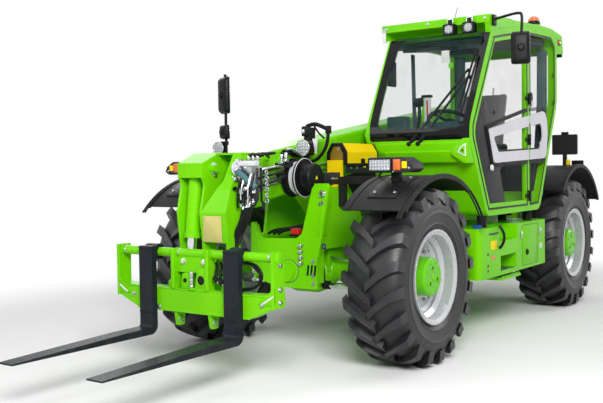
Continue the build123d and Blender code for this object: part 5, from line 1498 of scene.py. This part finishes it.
def make_tray_trim():
    piece = Piece("tray_details", "frame", "charcoal_paint")
    piece.add(revolved([(0, 52), (24, 52), (32, 44), (32, 0)], (-1075, 980, 640), (-1076, 980, 640), 32), BLACK)
    for k in range(12):
        piece.add(block((-1080, -1074), (1240 + k * 34, 1256 + k * 34), (545, 690), 3, 2), BLACK)
    piece.add(block((-1079, -1074), (1230, 1660), (536, 700), 2), CHARCOAL)
    piece.done()


def make_rear():
    piece = Piece("rear_fittings", "frame", "charcoal_paint")
    piece.add(prism([(-80, 560), (80, 560), (80, 760), (-80, 760)], "xz", 3862, 3880, 8, 3), CHARCOAL)
    piece.add(block((-60, 60), (3855, 3882), (600, 630), 5, 3), CHARCOAL)
    piece.add(rod((0, 3868, 590), (0, 3868, 730), 16, 20, 3), STEEL)
    for x in (-380, 380):
        piece.add(bolt((x, 3560, 1040), (0, 0, 1), 16), STEEL)
        piece.add(bolt((x, 3700, 1040), (0, 0, 1), 16), STEEL)
    piece.add(block((806, 1044), (3209, 3213), (1486, 1674), 2), BLACK)
    piece.add(block((890, 960), (3186, 3212), (1680, 1706), 5, 3), BLACK)
    for x in (905, 945):
        piece.add(rod((x, 3200, 1704), (x, 3200, 1712), 8, 12, 1), CLEAR_LENS)
    piece.done()


def make_running_gear():
    """Bolted covers, grease points, brake and steering hoses on the axles."""
    for name, y, reach in (("front", 0, -1), ("rear", REAR_AXLE_Y, 1)):
        piece = Piece(f"{name}_axle_details", "frame", "lime_paint")
        cover = revolved([(0, 108), (18, 104), (34, 80), (40, 0)], (0, y - reach * -150, 620), (0, y - reach * -151, 620), 36)
        piece.add(cover, LIME)
        for k in range(10):
            turn = 2 * pi * k / 10
            piece.add(bolt((94 * cos(turn), y + reach * 163, 620 + 94 * sin(turn)), (0, reach, 0), 6), STEEL)
        for side in (-1, 1):
            for z in (690, 550):
                up = 1 if z > 620 else -1
                piece.add(revolved([(0, 48), (8, 46), (12, 30), (12, 0)], (side * 700, y, z), (side * 700, y, z + up), 28), LIME)
            tube = [(side * 60, y + reach * 60, 800), (side * 200, y + reach * 90, 735), (side * 420, y + reach * 70, 700),
                    (side * 600, y + reach * 40, 690)]
            piece.add(hose(tube, 7), STEEL)
            flex = [(side * 236, y + reach * 150, 560), (side * 250, y + reach * 170, 610), (side * 225, y + reach * 150, 700),
                    (side * 150, y + reach * 110, 800)]
            piece.add(hose(flex, 9), HOSE)
            piece.add(revolved([(0, 26), (14, 32), (20, 26), (34, 32), (40, 26), (54, 32), (60, 26)],
                               (side * 232, y + reach * 150, 532), (side * 233, y + reach * 150, 532), 24), RUBBER)
        piece.done()


def make_boom_details():
    """Wear-pad screws, pipes along the boom, and the pivot's end caps."""
    piece = Piece("boom_fittings", "boom", "lime_paint")
    rise = radians(8.6)

    def along(x, run, up):
        return (x, 3400 - run * cos(rise) - up * sin(rise), 1925 - run * sin(rise) + up * cos(rise))

    for run in (4130, 4060):
        for up in (-60, 60):
            for x, side in ((-110 - 157, -1), (-110 + 157, 1)):
                if run > 4110:
                    piece.add(bolt(along(x, run, up), (side, 0, 0), 8), STEEL)
    for up in (-60, -20):
        run = [along(36, s, up) for s in (4080, 3700, 3000, 2000, 1000, 400)]
        piece.add(hose(run, 10), STEEL)
    for run in (3600, 2800, 1900, 1000):
        piece.add(block((30, 48), (along(0, run, 0)[1] - 16, along(0, run, 0)[1] + 16),
                        (along(0, run, -80)[2], along(0, run, 0)[2]), 4, 3), STEEL)
    for x, side in ((-110 - 183, -1), (-110 + 183, 1)):
        piece.add(revolved([(0, 58), (8, 56), (12, 46), (12, 0)], (x, 3400, 1925), (x + side, 3400, 1925), 32), LIME)
        for k in range(4):
            turn = 2 * pi * (k + 0.5) / 4
            piece.add(bolt((x + side * 10, 3400 + 38 * cos(turn), 1925 + 38 * sin(turn)), (side, 0, 0), 5), STEEL)
    piece.done()


# The stage: a pale floor that melts into white, soft lamps, and the camera

def studio():
    finish = Finish("pale_floor")
    x, y, z = finish.machine()
    away = ((x - 145) * (x - 145) + (y - 745) * (y - 745) * 0.6).root()
    seen = finish.node("LightPath", output="Is Camera Ray")
    glossy = finish.node("LightPath", output="Is Glossy Ray")
    through = finish.node("LightPath", output="Is Transmission Ray")
    matt = finish.node("BsdfDiffuse", None, {"Color": (0.86, 0.86, 0.86, 1), "Roughness": 0.3})
    white = finish.node("Emission", None, {"Color": (1, 1, 1, 1), "Strength": 1.0})
    fade = away.ramp(3300, 5400) * seen.at_least(glossy).at_least(through)
    shown = finish.node("MixShader", None, {0: fade, 1: matt, 2: white})
    finish.node("OutputMaterial", None, {"Surface": shown})
    ground = bmesh.new()
    bmesh.ops.create_grid(ground, x_segments=4, y_segments=4, size=60)
    mesh = bpy.data.meshes.new("studio_floor")
    ground.to_mesh(mesh)
    mesh.materials.append(finish.material)
    floor = bpy.data.objects.new("studio_floor", mesh)
    bpy.context.scene.collection.objects.link(floor)


def world():
    sky = bpy.data.worlds.new("studio_air")
    sky.use_nodes = True
    nodes, links = sky.node_tree.nodes, sky.node_tree.links
    nodes.clear()
    path = nodes.new("ShaderNodeLightPath")
    seen = nodes.new("ShaderNodeMath")
    seen.operation = "MAXIMUM"
    links.new(path.outputs["Is Camera Ray"], seen.inputs[0])
    links.new(path.outputs["Is Transmission Ray"], seen.inputs[1])
    seen_or_glossy = nodes.new("ShaderNodeMath")
    seen_or_glossy.operation = "MAXIMUM"
    links.new(seen.outputs[0], seen_or_glossy.inputs[0])
    links.new(path.outputs["Is Glossy Ray"], seen_or_glossy.inputs[1])
    ambient = nodes.new("ShaderNodeBackground")
    ambient.inputs["Strength"].default_value = 0.13
    white = nodes.new("ShaderNodeBackground")
    white.inputs["Color"].default_value = (1, 1, 1, 1)
    ambient.inputs["Color"].default_value = (1, 1, 1, 1)
    choose = nodes.new("ShaderNodeMixShader")
    links.new(seen_or_glossy.outputs[0], choose.inputs[0])
    links.new(ambient.outputs[0], choose.inputs[1])
    links.new(white.outputs[0], choose.inputs[2])
    out = nodes.new("ShaderNodeOutputWorld")
    links.new(choose.outputs[0], out.inputs[0])
    bpy.context.scene.world = sky


def softbox(name, place, target, size, watts):
    lamp = bpy.data.lights.new(name, "AREA")
    lamp.shape = "RECTANGLE"
    lamp.size, lamp.size_y = size
    lamp.energy = watts
    holder = bpy.data.objects.new(name, lamp)
    holder.location = place
    holder.rotation_euler = (Vector(target) - Vector(place)).to_track_quat("-Z", "Y").to_euler()
    bpy.context.scene.collection.objects.link(holder)


def camera():
    """The camera fitted to the picture: its yaw, pitch and roll in degrees and focal length in pixels."""
    yaw, pitch, roll, focal, width = radians(34.82), radians(2.22), radians(-0.82), 866.5, 603
    look = Vector((-sin(yaw) * cos(pitch), cos(yaw) * cos(pitch), -sin(pitch)))
    level = Vector((cos(yaw), sin(yaw), 0))
    up = level.cross(look)
    right = level * cos(roll) + up * sin(roll)
    above = up * cos(roll) - level * sin(roll)
    eye = bpy.data.cameras.new("viewpoint")
    eye.sensor_width = 36
    eye.lens = focal * 36 / width
    holder = bpy.data.objects.new("viewpoint", eye)
    axes = Matrix((right, above, -look)).transposed().to_4x4()
    holder.matrix_world = Matrix.Translation((3.560, -6.157, 1.386)) @ axes
    bpy.context.scene.collection.objects.link(holder)
    bpy.context.scene.camera = holder


def light_the_stage():
    world()
    studio()
    middle = (0, 0, 1.0)
    softbox("key_lamp", (4.8, -6.6, 4.6), middle, (3.4, 2.6), 650)
    softbox("front_lamp", (-4.6, -6.4, 4.2), middle, (4.0, 3.0), 105)
    softbox("top_lamp", (0.2, 0.2, 7.5), middle, (6.0, 7.0), 180)
    softbox("rear_lamp", (5.0, 6.0, 5.0), middle, (4.0, 3.0), 180)
    softbox("far_lamp", (-6.0, 4.0, 4.5), middle, (4.0, 3.0), 140)


MAKERS = (
    make_wheels, make_running_gear, make_cowl, make_wipers, make_screen_parts, make_lining, make_controls, seat_frame,
    make_seat, make_door, make_quarter, make_roof, make_beacon, make_mirrors, make_boom_details, make_head,
    make_carriage_trim, make_fork_trim, make_reel, make_boom_lamp, make_box, make_nose, make_fenders, make_lamps,
    make_module, make_hood_trim, make_engine, make_tray_trim, make_rear,
)


def main():
    bpy.context.scene.view_settings.view_transform = "Standard"
    finish_frame()
    for make in MAKERS:
        make()
    light_the_stage()
    camera()


main()
